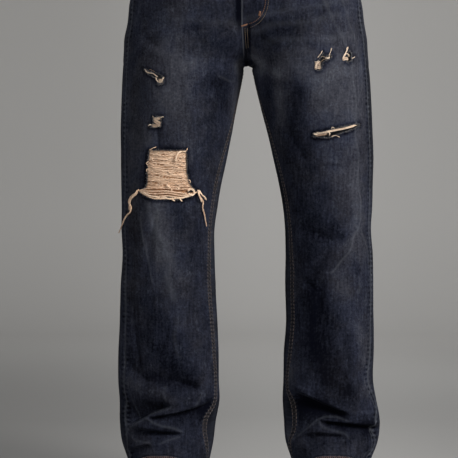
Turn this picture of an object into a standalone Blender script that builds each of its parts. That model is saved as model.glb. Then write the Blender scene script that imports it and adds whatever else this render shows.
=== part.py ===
"""Ripped jeans, as worn: a hollow garment of denim panels, open at the waist and at both hems.

Metres, +Z up. The wearer faces -Y, so +X is the wearer's left. The origin is the middle of
the waist opening, half way up the waistband, where the wearer's waist holds the garment.

Each leg is a tube through the rows of SECTIONS. Above the crotch the two tubes run into each
other, and each is cut off at the plane x = 0: that cut is the rise seam. A point of the cloth
is given by its leg, its angle around the leg (0 at the front, 90 degrees outermost, 180 at
the back, -90 innermost) and its height.
"""

import math
from collections import namedtuple

import bmesh
import bpy
import numpy as np

# Cloth and clearances
DENIM = 0.0015  # wall of a panel
BAND_CLOTH = 0.0026  # the waistband, folded double
HEM_CLOTH = 0.0028  # the turned-up hem, three layers
GAP = 0.0003  # between neighbouring pieces
HALF_GAP_ANGLE = 0.0024  # half of GAP, as an angle round a leg

# Heights
BAND_HALF = 0.020  # half the waistband's height
WAIST_TILT = 0.10  # how far the waistband rises for each metre towards the back
TILT_BOTTOM = -0.12  # below this height the cloth isn't tilted
CROTCH = -0.232
HEM_MIDDLE = -0.976  # the hem's lower edge at the sides of the leg
HEM_RISE = 0.014  # how much higher it is at the front, and lower at the heel
HEM_HEIGHT = 0.017

ROUNDNESS = 2.2  # exponent of the sections' curve: 2 is an ellipse
SIDES = {"right": -1, "left": 1}

# Half-widths from the centre plane to each leg's outer and inner edge, and depths from y = 0
# to the front and back. An inner edge below zero is past the centre plane. Middle is the y at
# which the section is widest.
Section = namedtuple(
    "Section", "height outer_right inner_right outer_left inner_left front back middle"
)
SECTIONS = (
    Section(-1.000, 0.2075, 0.0770, 0.2165, 0.0925, 0.088, 0.074, -0.006),
    Section(-0.961, 0.2185, 0.0680, 0.2285, 0.0825, 0.088, 0.071, -0.008),
    Section(-0.927, 0.2295, 0.0610, 0.2415, 0.0720, 0.084, 0.067, -0.010),
    Section(-0.890, 0.2335, 0.0565, 0.2455, 0.0690, 0.082, 0.065, -0.010),
    Section(-0.850, 0.2345, 0.0500, 0.2385, 0.0660, 0.080, 0.063, -0.010),
    Section(-0.819, 0.2365, 0.0510, 0.2330, 0.0675, 0.079, 0.062, -0.010),
    Section(-0.761, 0.2360, 0.0515, 0.2345, 0.0690, 0.078, 0.061, -0.010),
    Section(-0.705, 0.2340, 0.0535, 0.2340, 0.0725, 0.080, 0.062, -0.010),
    Section(-0.650, 0.2320, 0.0565, 0.2335, 0.0715, 0.084, 0.062, -0.012),
    Section(-0.576, 0.2285, 0.0590, 0.2315, 0.0715, 0.091, 0.062, -0.014),
    Section(-0.539, 0.2300, 0.0590, 0.2290, 0.0710, 0.095, 0.066, -0.014),
    Section(-0.492, 0.2305, 0.0530, 0.2310, 0.0660, 0.099, 0.072, -0.012),
    Section(-0.404, 0.2315, 0.0355, 0.2335, 0.0490, 0.106, 0.084, -0.008),
    Section(-0.313, 0.2315, 0.0180, 0.2305, 0.0265, 0.115, 0.104, -0.003),
    Section(-0.270, 0.2295, 0.0100, 0.2280, 0.0165, 0.119, 0.120, 0.000),
    Section(-0.248, 0.2285, 0.0060, 0.2265, 0.0115, 0.1205, 0.130, 0.000),
    Section(-0.238, 0.2280, 0.0040, 0.2255, 0.0070, 0.121, 0.134, 0.000),
    Section(CROTCH, 0.2275, 0.0000, 0.2255, 0.0000, 0.1215, 0.136, 0.000),
    Section(-0.220, 0.2270, -0.0185, 0.2245, -0.0185, 0.1225, 0.141, 0.000),
    Section(-0.205, 0.2265, -0.0450, 0.2235, -0.0450, 0.124, 0.146, 0.000),
    Section(-0.190, 0.2260, -0.0750, 0.2225, -0.0750, 0.1255, 0.150, 0.000),
    Section(-0.160, 0.2205, -0.1240, 0.2175, -0.1240, 0.128, 0.154, 0.002),
    Section(-0.113, 0.2150, -0.1720, 0.2110, -0.1740, 0.130, 0.151, 0.004),
    Section(-0.065, 0.1950, -0.1820, 0.1940, -0.1820, 0.127, 0.139, 0.003),
    Section(-0.020, 0.171, -0.170, 0.171, -0.170, 0.123, 0.126, 0.001),
    Section(0.030, 0.164, -0.164, 0.164, -0.164, 0.120, 0.120, 0.000),
)

# How far each seam lies in front of the leg's innermost or outermost line, in degrees
Seam = namedtuple("Seam", "height inseam_right outseam_right inseam_left outseam_left")
SEAMS = (
    Seam(-1.000, 12, 20, 8, 26),
    Seam(-0.957, 17, 26, 14, 31),
    Seam(-0.927, 28, 32, 19, 24),
    Seam(-0.903, 35, 34, 31, 33),
    Seam(-0.880, 34, 30, 34, 30),
    Seam(-0.855, 22, 30, 32, 17),
    Seam(-0.825, 17, 31, 20, 30),
    Seam(-0.760, 21, 33, 25, 29),
    Seam(-0.640, 26, 30, 27, 25),
    Seam(-0.540, 23, 26, 23, 25),
    Seam(-0.440, 24, 27, 20, 27),
    Seam(-0.320, 9, 27, 9, 27),
    Seam(CROTCH, 0, 25, 0, 25),
    Seam(-0.110, 0, 18, 0, 18),
    Seam(0.030, 0, 12, 0, 12),
)

# Folds, as lines on the unrolled leg, each from its soft end to its sharp end. Around is in
# degrees. Drop is how far the line's middle hangs below its straight run. Depth is how far the
# cloth goes in (out, where it is below zero), and above and below are how far that reaches.
Fold = namedtuple(
    "Fold", "leg around1 height1 around2 height2 drop depth above below"
)
FOLDS = (
    # the break over the right foot
    Fold("right", 62, -0.786, -44, -0.832, 0.012, 0.009, 0.030, 0.013),
    Fold("right", 58, -0.838, -4, -0.861, 0.004, 0.008, 0.014, 0.009),
    Fold("right", -72, -0.848, 26, -0.884, 0.004, 0.008, 0.008, 0.012),
    Fold("right", 48, -0.903, -18, -0.915, -0.002, 0.007, 0.009, 0.011),
    Fold("right", 62, -0.925, 22, -0.950, 0.000, 0.006, 0.012, 0.012),
    Fold("right", 10, -0.893, 76, -0.918, 0.000, -0.005, 0.008, 0.008),
    # the break over the left foot
    Fold("left", -64, -0.836, 23, -0.889, -0.006, 0.011, 0.024, 0.010),
    Fold("left", 74, -0.905, -16, -0.891, 0.003, 0.009, 0.007, 0.012),
    Fold("left", -34, -0.921, 8, -0.919, -0.005, 0.006, 0.008, 0.011),
    Fold("left", -6, -0.882, -64, -0.926, 0.000, -0.005, 0.008, 0.008),
    Fold("left", 30, -0.930, 66, -0.952, 0.000, 0.005, 0.010, 0.010),
    # behind the ankles
    Fold("right", 232, -0.842, 128, -0.866, 0.012, 0.008, 0.016, 0.012),
    Fold("right", 130, -0.902, 236, -0.916, 0.010, 0.007, 0.012, 0.012),
    Fold("left", 128, -0.850, 234, -0.878, 0.012, 0.008, 0.018, 0.012),
    Fold("left", 236, -0.908, 132, -0.928, 0.010, 0.006, 0.012, 0.012),
    # behind the knees
    Fold("right", 246, -0.560, 138, -0.604, 0.010, 0.007, 0.026, 0.018),
    Fold("right", 122, -0.640, 214, -0.668, 0.008, 0.005, 0.022, 0.016),
    Fold("left", 124, -0.556, 232, -0.598, 0.010, 0.007, 0.026, 0.018),
    Fold("left", 242, -0.634, 150, -0.664, 0.008, 0.005, 0.022, 0.016),
    # soft troughs of the thighs and shins
    Fold("right", -58, -0.270, -14, -0.330, 0.000, 0.004, 0.022, 0.022),
    Fold("right", 6, -0.392, 22, -0.330, 0.000, 0.004, 0.012, 0.012),
    Fold("right", 34, -0.700, 12, -0.500, 0.000, 0.005, 0.020, 0.020),
    Fold("left", -52, -0.300, -22, -0.420, 0.000, 0.004, 0.024, 0.024),
    Fold("left", -60, -0.520, 6, -0.560, 0.000, 0.006, 0.026, 0.018),
    Fold("left", -24, -0.800, -10, -0.620, 0.000, 0.005, 0.024, 0.024),
    # under the seat
    Fold("right", 250, -0.292, 158, -0.268, 0.016, 0.006, 0.022, 0.026),
    Fold("left", 250, -0.292, 158, -0.268, 0.016, 0.006, 0.022, 0.026),
)
UNROLL_RADIUS = 0.085  # turns an angle round the leg into a length
SOFT_END = 0.5  # share of a fold over which it starts
SHARP_END = 0.16  # share of a fold over which it ends

# The knee rip, row by row: from its edge nearer the outer seam to its edge nearer the inseam
Rip = namedtuple("Rip", "height outer inner")
KNEE_RIP = (
    Rip(-0.3960, 0.1750, 0.1090),
    Rip(-0.4030, 0.1765, 0.1080),
    Rip(-0.4280, 0.1790, 0.1085),
    Rip(-0.4520, 0.1795, 0.1045),
    Rip(-0.4620, 0.1815, 0.0985),
    Rip(-0.4690, 0.1945, 0.0905),
    Rip(-0.4765, 0.1870, 0.0985),
    Rip(-0.4835, 0.1690, 0.1210),
)
# The smaller rips, as outlines of (distance from the centre plane, height) going round
SMALL_RIPS = {
    "right_thigh_slash": ("right", ((0.184, -0.249), (0.178, -0.252), (0.166, -0.257),
                                    (0.150, -0.264), (0.149, -0.277), (0.159, -0.279),
                                    (0.163, -0.267), (0.178, -0.259))),
    "right_thigh_hole": ("right", ((0.169, -0.337), (0.154, -0.335), (0.154, -0.353),
                                   (0.173, -0.355), (0.168, -0.345))),
    "left_thigh_hole": ("left", ((0.127, -0.237), (0.135, -0.223), (0.137, -0.229),
                                 (0.151, -0.225), (0.150, -0.232), (0.136, -0.239),
                                 (0.133, -0.253), (0.125, -0.254))),
    "left_side_hole": ("left", ((0.177, -0.233), (0.182, -0.217), (0.186, -0.220),
                                (0.189, -0.235), (0.178, -0.238))),
}
# The slash across the left thigh, point by point along its two lips
Slash = namedtuple("Slash", "across upper lower")
THIGH_SLASH = (
    Slash(0.119, -0.3655, -0.3715),
    Slash(0.132, -0.3630, -0.3735),
    Slash(0.150, -0.3590, -0.3725),
    Slash(0.172, -0.3535, -0.3640),
    Slash(0.192, -0.3490, -0.3565),
    Slash(0.202, -0.3475, -0.3500),
)
YARN_INSET = 0.0006  # between a rip's edge and the yarns across it
YARN_SUNK = 0.0002  # below the cloth's outer face
YARN_PANEL = 0.0012
CUTTER_NEAR = 0.02  # a cutter runs between these distances from the garment's axis
CUTTER_FAR = 0.30

# Grids of the panels: shares of a panel's width, and heights
FRONT_COLUMNS = (0, 0.11, 0.24, 0.41, 0.52, 0.63, 0.73, 0.82, 0.91, 1)
BACK_COLUMNS = (0, 0.10, 0.21, 0.32, 0.44, 0.56, 0.686, 0.79, 0.89, 1)
HEM_ROWS = (-0.960, -0.946)
BREAK_BOTTOM = -0.9315
BREAK_TOP = -0.790
BREAK_STEP = 0.0125
LEG_BOTTOM = -0.775
LEG_TOP = -0.275
LEG_ROWS = 10
CROTCH_ROWS = (-0.248, -0.238, CROTCH, -0.226, -0.217, -0.204, -0.186, -0.160)
FRONT_TOP_ROWS = (-0.130, -0.098, -0.072, -0.046)
BACK_TOP_SHARES = (0.28, 0.575, 0.815, 1)  # these meet the front's rows at the outer seam
YOKE_SHARES = (0, 0.2, 0.6, 1)

# Front pockets, yokes, fly and back pockets. A look is the direction, in degrees from the
# front towards the outer side of the leg, from which an outline is drawn on the cloth.
POCKET_LOOK = 45
POCKET_MOUTH = 0.030  # where the scoop leaves the waistband, seen from its look
POCKET_REACH = 0.085
POCKET_DEPTH = 0.077
FACING_COLUMN = 4  # the front's column where the facing behind the scoop begins
FACING_CLOTH = 0.0012
YOKE_AT_SIDE = -0.052
YOKE_AT_BACK = -0.088
FLY_EDGE = -0.0105  # the fly's free edge, just past the centre to the wearer's right
FLY_WIDTH = 0.0415
FLY_BOTTOM = -0.178
FLY_CURVE_TOP = -0.126
BAND_PROUD = 0.001  # how far the waistband stands out from the panels
BAND_COLUMNS = 38  # columns once round the waist; the band's ends lap by one column each
BACK_POCKET_LOOK = 158
BACK_POCKET_TOP = -0.091
BACK_POCKET_SIDE = 0.112  # height of a back pocket at its sides
BACK_POCKET_POINT = 0.020  # how far its point hangs below its sides
BACK_POCKET_HALF = 0.068  # half its width at the top
BACK_POCKET_TAPER = 0.90  # its width at the bottom, as a share of the top's
BACK_POCKET_MIDDLE = -0.036  # its centre line, seen from its look
LOOP_WIDTH = 0.012
LOOP_CLOTH = 0.0018
WAIST_RADIUS = 0.145
LoopPoint = namedtuple("LoopPoint", "height stand")  # stand: off the panels' outer face
LOOP_PROFILE = (
    LoopPoint(-0.0280, 0.0004),
    LoopPoint(-0.0225, 0.0014),
    LoopPoint(-0.0140, 0.0030),
    LoopPoint(0.0040, 0.0034),
    LoopPoint(0.0150, 0.0026),
    LoopPoint(0.0198, 0.0014),
)
LOOP_ANGLES = (-148, -88, -32, 32, 88, 148)  # from the front, degrees
BUTTON_RADIUS = 0.0085
# (radius, how far ahead of the waistband) from the neck's foot to the top of the dome
BUTTON_PROFILE = (
    (0.0, 0.0), (0.0035, 0.0), (0.0035, 0.0012), (BUTTON_RADIUS - 0.0006, 0.0014),
    (BUTTON_RADIUS, 0.0022), (BUTTON_RADIUS - 0.0009, 0.0033), (0.0052, 0.0030),
    (0.0040, 0.0036), (0.0, 0.0040),
)

# The two bundles of yarn that hang from the knee rip's corners, from the cloth down, as
# (distance from the centre plane, how far in front of the cloth, height)
OUTER_YARN = ((0.1950, 0.0018, -0.4660), (0.2010, 0.0035, -0.4720), (0.2110, 0.0048, -0.4800),
              (0.2140, 0.0052, -0.4885), (0.2095, 0.0056, -0.4965), (0.2105, 0.0062, -0.5040),
              (0.2195, 0.0085, -0.5140), (0.2260, 0.0150, -0.5270), (0.2310, 0.0230, -0.5370),
              (0.2335, 0.0290, -0.5440))
INNER_YARN = ((0.0870, 0.0011, -0.4690), (0.0845, 0.0041, -0.4780), (0.0790, 0.0045, -0.4890),
              (0.0800, 0.0048, -0.4960), (0.0770, 0.0052, -0.5100), (0.0745, 0.0056, -0.5240),
              (0.0730, 0.0060, -0.5320))
OUTER_YARN_RADIUS = 0.0016
INNER_YARN_RADIUS = 0.0014
YARN_STEP = 0.0075  # spacing of the tubes' rings

# Colours, linear: base, roughness, metallic
FINISHES = {
    "denim": ((0.030, 0.036, 0.055), 0.90, 0.0),
    "denim_band": ((0.024, 0.029, 0.046), 0.90, 0.0),
    "ecru_yarn": ((0.62, 0.44, 0.30), 0.95, 0.0),
    "copper": ((0.42, 0.20, 0.11), 0.42, 1.0),
}


def heights_of(rows):
    return np.array([row.height for row in rows])


def read_table(rows, name, height):
    """The smooth curve through one column of a table, at these heights."""
    at = heights_of(rows)
    values = np.array([getattr(row, name) for row in rows], float)
    slopes = np.gradient(values, at)
    i = np.clip(np.searchsorted(at, height) - 1, 0, len(at) - 2)
    step = at[i + 1] - at[i]
    u = np.clip((height - at[i]) / step, 0, 1)
    start = (1 + 2 * u) * (1 - u) ** 2 * values[i] + u * (1 - u) ** 2 * step * slopes[i]
    end = u**2 * (3 - 2 * u) * values[i + 1] - u**2 * (1 - u) * step * slopes[i + 1]
    return start + end


def ease(x):
    x = np.clip(x, 0, 1)
    return x * x * (3 - 2 * x)


def rounded(x):
    """The sine or cosine of a section's angle, swollen to the section's squarer curve."""
    return np.sign(x) * np.abs(x) ** (2 / ROUNDNESS)


def fold_depth(leg, around, height):
    """How far the folds move the cloth outwards."""
    total = np.zeros(np.broadcast(around, height).shape)
    degrees = np.degrees(around)
    for fold in FOLDS:
        if fold.leg != leg:
            continue
        middle = (fold.around1 + fold.around2) / 2
        wrapped = (degrees - middle + 180) % 360 - 180
        along = np.radians(wrapped + middle - fold.around1) * UNROLL_RADIUS
        up = height - fold.height1
        run = math.radians(fold.around2 - fold.around1) * UNROLL_RADIUS
        rise = fold.height2 - fold.height1
        length = math.hypot(run, rise)
        share = (along * run + up * rise) / length**2
        upright = 1 if run >= 0 else -1
        off = upright * (up * run - along * rise) / length
        off = off + 4 * fold.drop * share * (1 - share)
        reach = np.where(off > 0, fold.above, fold.below)
        ends = ease(share / SOFT_END) * ease((1 - share) / SHARP_END)
        total = total - fold.depth * ends * np.exp(-((np.abs(off) / reach) ** 1.6))
    return total


def leg_frame(leg, height):
    """(centre, half-width, middle, front half-depth, back half-depth) of a leg's section."""
    outer = read_table(SECTIONS, "outer_" + leg, height)
    inner = read_table(SECTIONS, "inner_" + leg, height)
    middle = read_table(SECTIONS, "middle", height)
    front = read_table(SECTIONS, "front", height) + middle
    back = read_table(SECTIONS, "back", height) - middle
    return (outer + inner) / 2, (outer - inner) / 2, middle, front, back


def skin(leg, around, height):
    """Points of the cloth's outer face."""
    around, height = np.broadcast_arrays(np.asarray(around, float), np.asarray(height, float))
    centre, half, middle, front, back = leg_frame(leg, height)
    sine, cosine = np.sin(around), np.cos(around)
    depth = np.where(cosine > 0, front, back)
    fold = fold_depth(leg, around, height)
    across, ahead = sine / half, cosine / depth
    size = np.hypot(across, ahead)
    x = centre + half * rounded(sine) + fold * across / size
    y = middle - depth * rounded(cosine) - fold * ahead / size
    z = height + WAIST_TILT * y * ease((height - TILT_BOTTOM) / -TILT_BOTTOM)
    return np.stack([SIDES[leg] * x, y, z], axis=-1)


def outward(leg, around, height):
    """Unit directions out of the cloth."""
    turn, climb = 0.02, 0.002
    round_it = skin(leg, around + turn, height) - skin(leg, around - turn, height)
    up_it = skin(leg, around, height + climb) - skin(leg, around, height - climb)
    normal = np.cross(round_it, up_it) * SIDES[leg]
    return normal / np.linalg.norm(normal, axis=-1, keepdims=True)


def cloth_at(leg, around, height, out=0.0):
    """Points of the cloth's outer face, moved out."""
    out = np.asarray(out, float)[..., None]
    return skin(leg, around, height) + out * outward(leg, around, height)


def front_angle(leg, distance, height):
    """The angle on the front of a leg at this distance from the centre plane."""
    centre, half, _, _, _ = leg_frame(leg, height)
    share = np.clip((distance - centre) / half, -1, 1)
    return np.arcsin(np.sign(share) * np.abs(share) ** (ROUNDNESS / 2))


def inner_angles(leg, height):
    """The angles of the seams that end the front and the back: the inseam, or the rise."""
    centre, half, _, _, _ = leg_frame(leg, height)
    share = (centre - GAP / 2) / half
    rise = np.arcsin(np.sign(share) * np.clip(np.abs(share), 0, 1) ** (ROUNDNESS / 2))
    inseam = np.radians(read_table(SEAMS, "inseam_" + leg, height))
    below = share >= 1
    quarter = math.pi / 2
    front = np.where(below, inseam - quarter + HALF_GAP_ANGLE, -rise)
    back = np.where(below, 3 * quarter + inseam - HALF_GAP_ANGLE, math.pi + rise)
    return front, back


def outer_angle(leg, height):
    return np.radians(90 - read_table(SEAMS, "outseam_" + leg, height))


def front_grid(leg, shares, height):
    """Angles across a front, from its inner edge to the outer seam."""
    first, _ = inner_angles(leg, height)
    last = outer_angle(leg, height) - HALF_GAP_ANGLE
    return first + (last - first) * shares


def back_grid(leg, shares, height):
    """Angles across a back, from the outer seam to its inner edge."""
    first = outer_angle(leg, height) + HALF_GAP_ANGLE
    _, last = inner_angles(leg, height)
    return first + (last - first) * shares


def hem_top(around):
    return HEM_MIDDLE + HEM_RISE * np.cos(around) + HEM_HEIGHT


def level_rows():
    """Heights of a panel's level rows: close together at the break and at the crotch."""
    break_rows = np.arange(BREAK_BOTTOM, BREAK_TOP, BREAK_STEP)
    leg_rows = np.linspace(LEG_BOTTOM, LEG_TOP, LEG_ROWS)
    return np.concatenate([break_rows, leg_rows, CROTCH_ROWS])


def make_object(name, mesh_data, finish):
    mesh = bpy.data.meshes.new(name)
    mesh_data.to_mesh(mesh)
    mesh_data.free()
    mesh.materials.append(material(finish))
    obj = bpy.data.objects.new(name, mesh)
    bpy.context.scene.collection.objects.link(obj)
    mesh.shade_smooth()
    mesh.set_sharp_from_angle(angle=math.radians(35))
    return obj


def material(finish):
    made = bpy.data.materials.get(finish) or bpy.data.materials.new(finish)
    colour, roughness, metallic = FINISHES[finish]
    made.use_nodes = True
    shader = made.node_tree.nodes["Principled BSDF"]
    shader.inputs["Base Color"].default_value = (*colour, 1)
    shader.inputs["Roughness"].default_value = roughness
    shader.inputs["Metallic"].default_value = metallic
    return made


def wall(name, outer, inner, finish, closed=False, mirrored=False):
    """A closed wall between two grids of points, with a rim. A closed grid joins its last
    column to its first. Every cell is split along the same diagonal, so that what lies on a
    panel fits it; a mirrored grid takes the other one."""
    mesh = bmesh.new()
    rows, columns = outer.shape[:2]
    faces = [[[mesh.verts.new(p) for p in row] for row in grid] for grid in (outer, inner)]
    last = columns if closed else columns - 1
    for j in range(rows - 1):
        for k in range(last):
            ahead = (k + 1) % columns
            for grid in faces:
                a, b, c, d = grid[j][k], grid[j][ahead], grid[j + 1][ahead], grid[j + 1][k]
                first, second = ((a, b, d), (b, c, d)) if mirrored else ((a, b, c), (a, c, d))
                mesh.faces.new(first)
                mesh.faces.new(second)
    for j in (0, rows - 1):
        for k in range(last):
            ahead = (k + 1) % columns
            mesh.faces.new([faces[0][j][k], faces[0][j][ahead], faces[1][j][ahead], faces[1][j][k]])
    if not closed:
        for k in (0, columns - 1):
            for j in range(rows - 1):
                mesh.faces.new(
                    [faces[0][j][k], faces[0][j + 1][k], faces[1][j + 1][k], faces[1][j][k]]
                )
    bmesh.ops.recalc_face_normals(mesh, faces=mesh.faces)
    return make_object(name, mesh, finish)


def sheet(name, leg, around, height, finish, thickness=DENIM, out=0.0):
    """A wall whose outer face follows the leg's skin, moved out."""
    outer = cloth_at(leg, around, height, out)
    inner = cloth_at(leg, around, height, out - thickness)
    return wall(name, outer, inner, finish, mirrored=leg == "right")


def settle_hem(grid_of, leg, shares, height):
    """The heights with the lowest two rows bent to the hem's top edge."""
    for _ in range(2):
        edge = hem_top(grid_of(leg, shares, height)) + GAP
        height = height.copy()
        height[0] = edge[0]
        height[1] = (edge[1] + height[2]) / 2
    return height


def front_cloth(leg):
    """The grid of a front, as angles and heights: hem to waistband."""
    shares = np.array(FRONT_COLUMNS)
    rows = np.concatenate([HEM_ROWS, level_rows(), FRONT_TOP_ROWS, [-BAND_HALF - GAP]])
    height = np.repeat(rows[:, None], len(shares), axis=1)
    height = settle_hem(front_grid, leg, shares, height)
    return front_grid(leg, shares, height), height


def back_cloth(leg):
    """The grid of a back: hem to yoke seam."""
    shares = np.array(BACK_COLUMNS)
    level = level_rows()
    rows = np.concatenate([HEM_ROWS, level])
    height = np.repeat(rows[:, None], len(shares), axis=1)
    top = yoke_seam(shares) - GAP
    rise = [level[-1] + (top - level[-1]) * share for share in BACK_TOP_SHARES]
    height = settle_hem(back_grid, leg, shares, np.concatenate([height, rise]))
    return back_grid(leg, shares, height), height


def front_panel(leg):
    """A front, with the front pocket's scoop cut out of its top outer corner."""
    around, height = front_cloth(leg)
    sheet(f"{leg}_front", leg, around, height, "denim")
    outline = []
    for turn in np.linspace(0, math.pi / 2, 9):
        across = POCKET_MOUTH + POCKET_REACH * (1 - math.cos(turn))
        outline.append((across, -BAND_HALF - POCKET_DEPTH * math.sin(turn)))
    low = outline[-1][1]
    outline += [(CUTTER_FAR, low), (CUTTER_FAR, BAND_HALF), (POCKET_MOUTH, BAND_HALF)]
    trim(f"{leg}_front", prism(f"cut_{leg}_scoop", leg, outline, POCKET_LOOK))


def back_panel(leg):
    around, height = back_cloth(leg)
    sheet(f"{leg}_back", leg, around, height, "denim")


def yoke_seam(shares):
    return YOKE_AT_SIDE + (YOKE_AT_BACK - YOKE_AT_SIDE) * shares


def yoke(leg):
    shares = np.array(BACK_COLUMNS)
    low, high = yoke_seam(shares), -BAND_HALF - GAP
    height = np.array([low + (high - low) * share for share in YOKE_SHARES])
    sheet(f"{leg}_yoke", leg, back_grid(leg, shares, height), height, "denim")


def pocket_facing(leg):
    """The cloth that shows inside the front pocket's scoop, just behind the front."""
    around, height = front_cloth(leg)
    part = np.s_[-len(FRONT_TOP_ROWS) - 1 :, FACING_COLUMN:]
    inside = -DENIM - GAP
    sheet(f"{leg}_pocket_facing", leg, around[part], height[part], "denim", FACING_CLOTH, inside)


def hem(leg):
    """The turned-up hem: a ring under the panels' own columns, proud of them by half its
    extra cloth."""
    around = np.concatenate([front_cloth(leg)[0][0], back_cloth(leg)[0][0][1:-1]])
    top = hem_top(around)
    height = np.array([top - HEM_HEIGHT, top])
    round_it = np.repeat(around[None], len(height), axis=0)
    out = (HEM_CLOTH - DENIM) / 2
    outer = cloth_at(leg, round_it, height, out)
    inner = cloth_at(leg, round_it, height, out - HEM_CLOTH)
    wall(f"{leg}_hem", outer, inner, "denim", closed=True, mirrored=leg == "right")


def waist_ring(turn, height, out):
    """Points round the waist. Turn is measured from the front towards the wearer's left."""
    turn = np.asarray(turn, float)
    wrapped = np.mod(turn, 2 * math.pi)
    left = cloth_at("left", wrapped, height, out)
    right = cloth_at("right", 2 * math.pi - wrapped, height, out)
    return np.where((wrapped <= math.pi)[..., None], left, right)


def waistband():
    """One long band: its upper end laps over its lower end at the centre front."""
    step = 2 * math.pi / BAND_COLUMNS
    turns = step * np.arange(-1, BAND_COLUMNS + 2)
    heights = np.array([-BAND_HALF, 0, BAND_HALF])
    turn = np.repeat(turns[None], len(heights), axis=0)
    height = np.repeat(heights[:, None], len(turns), axis=1)
    lap = (BAND_CLOTH + GAP) * (1 - ease((turn - step) / (2 * step)))
    outer = waist_ring(turn, height, BAND_PROUD + lap)
    inner = waist_ring(turn, height, BAND_PROUD + lap - BAND_CLOTH)
    wall("waistband", outer, inner, "denim_band")


def belt_loop(number, degrees):
    """A strip over the waistband, fast at both ends and standing off it between them."""
    half = LOOP_WIDTH / 2 / WAIST_RADIUS
    turns = math.radians(degrees) + np.linspace(-half, half, 3)
    turn = np.repeat(turns[None], len(LOOP_PROFILE), axis=0)
    height = np.repeat(heights_of(LOOP_PROFILE)[:, None], len(turns), axis=1)
    stand = np.array([[point.stand] for point in LOOP_PROFILE])
    inner = waist_ring(turn, height, stand)
    outer = waist_ring(turn, height, stand + LOOP_CLOTH)
    wall(f"belt_loop_{number}", outer, inner, "denim_band")


def overlay(name, leg, points, outer_at, thickness, finish, cutter):
    """A piece made from a panel's own points, moved out, and trimmed to a cutter's outline."""
    wall(name, points(outer_at), points(outer_at - thickness), finish, mirrored=leg == "right")
    trim(name, cutter, "INTERSECT")


def fly():
    """The fly: it lies on both fronts, with its free edge just past the centre and its outer
    side curving back to the centre seam."""
    grids = {leg: front_cloth(leg) for leg in SIDES}
    rows = np.s_[-len(FRONT_TOP_ROWS) - 4 :]

    def points(out):
        halves = []
        for leg, columns in (("right", np.s_[1::-1]), ("left", np.s_[:4])):
            around, height = grids[leg]
            halves.append(cloth_at(leg, around[rows, columns], height[rows, columns], out))
        return np.concatenate(halves, axis=1)

    outline = [(FLY_EDGE, FLY_BOTTOM + 0.003), (FLY_EDGE, BAND_HALF), (FLY_WIDTH, BAND_HALF)]
    for turn in np.linspace(0, math.pi / 2, 8)[:-1]:
        down = (FLY_BOTTOM - FLY_CURVE_TOP) * math.sin(turn)
        outline.append((FLY_WIDTH * math.cos(turn), FLY_CURVE_TOP + down))
    cutter = prism("cut_fly", "left", outline, 0)
    overlay("fly", "left", points, DENIM + GAP, DENIM, "denim", cutter)


def back_pocket(leg):
    """A patch pocket on the back, with a pointed lower edge."""
    around, height = back_cloth(leg)
    rows = np.s_[-12:]

    def points(out):
        return cloth_at(leg, around[rows], height[rows], out)

    low = BACK_POCKET_TOP - BACK_POCKET_SIDE
    narrow = BACK_POCKET_HALF * BACK_POCKET_TAPER
    corners = (
        (-BACK_POCKET_HALF, BACK_POCKET_TOP), (-narrow, low), (0, low - BACK_POCKET_POINT),
        (narrow, low), (BACK_POCKET_HALF, BACK_POCKET_TOP),
    )
    outline = [(BACK_POCKET_MIDDLE + across, height) for across, height in corners]
    cutter = prism(f"cut_{leg}_back_pocket", leg, outline, BACK_POCKET_LOOK)
    overlay(f"{leg}_back_pocket", leg, points, DENIM + GAP, DENIM, "denim", cutter)


def button():
    """The waistband's shank button: a neck and a low dome, turned round its own axis."""
    surface = waist_ring(np.array([0.0]), np.array([0.0]), BAND_PROUD + BAND_CLOTH + 2 * GAP)[0]
    mesh = bmesh.new()
    ring = [mesh.verts.new((radius, -ahead, 0)) for radius, ahead in BUTTON_PROFILE]
    edges = [mesh.edges.new(pair) for pair in zip(ring[:-1], ring[1:])]
    bmesh.ops.spin(
        mesh, geom=ring + edges, cent=(0, 0, 0), axis=(0, 1, 0), angle=2 * math.pi, steps=14
    )
    bmesh.ops.remove_doubles(mesh, verts=mesh.verts, dist=1e-6)
    bmesh.ops.recalc_face_normals(mesh, faces=mesh.faces)
    obj = make_object("button", mesh, "copper")
    obj.location = surface
    return obj


def prism(name, leg, outline, look):
    """A cutter: an outline drawn on a leg from its look, run through the cloth."""
    mesh = bmesh.new()
    angle = math.radians(look)
    away = np.array([SIDES[leg] * math.sin(angle), -math.cos(angle), 0])
    across = np.array([SIDES[leg] * math.cos(angle), math.sin(angle), 0])
    ends = []
    for distance in (CUTTER_NEAR, CUTTER_FAR):
        places = [away * distance + across * u + np.array([0, 0, z]) for u, z in outline]
        ends.append([mesh.verts.new(place) for place in places])
        mesh.faces.new(ends[-1])
    for i in range(len(outline)):
        ahead = (i + 1) % len(outline)
        mesh.faces.new([ends[0][i], ends[0][ahead], ends[1][ahead], ends[1][i]])
    bmesh.ops.recalc_face_normals(mesh, faces=mesh.faces)
    cutter = make_object(name, mesh, "denim")
    cutter.hide_render = True
    cutter.display_type = "WIRE"
    return cutter


def trim(name, cutter, operation="DIFFERENCE"):
    modifier = bpy.data.objects[name].modifiers.new(cutter.name, "BOOLEAN")
    modifier.operation = operation
    modifier.object = cutter


def knee_outline():
    down = [(row.outer, row.height) for row in KNEE_RIP]
    return down + [(row.inner, row.height) for row in reversed(KNEE_RIP)]


def slash_outline():
    upper = [(row.across, row.upper) for row in THIGH_SLASH]
    return upper + [(row.across, row.lower) for row in reversed(THIGH_SLASH)]


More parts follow.
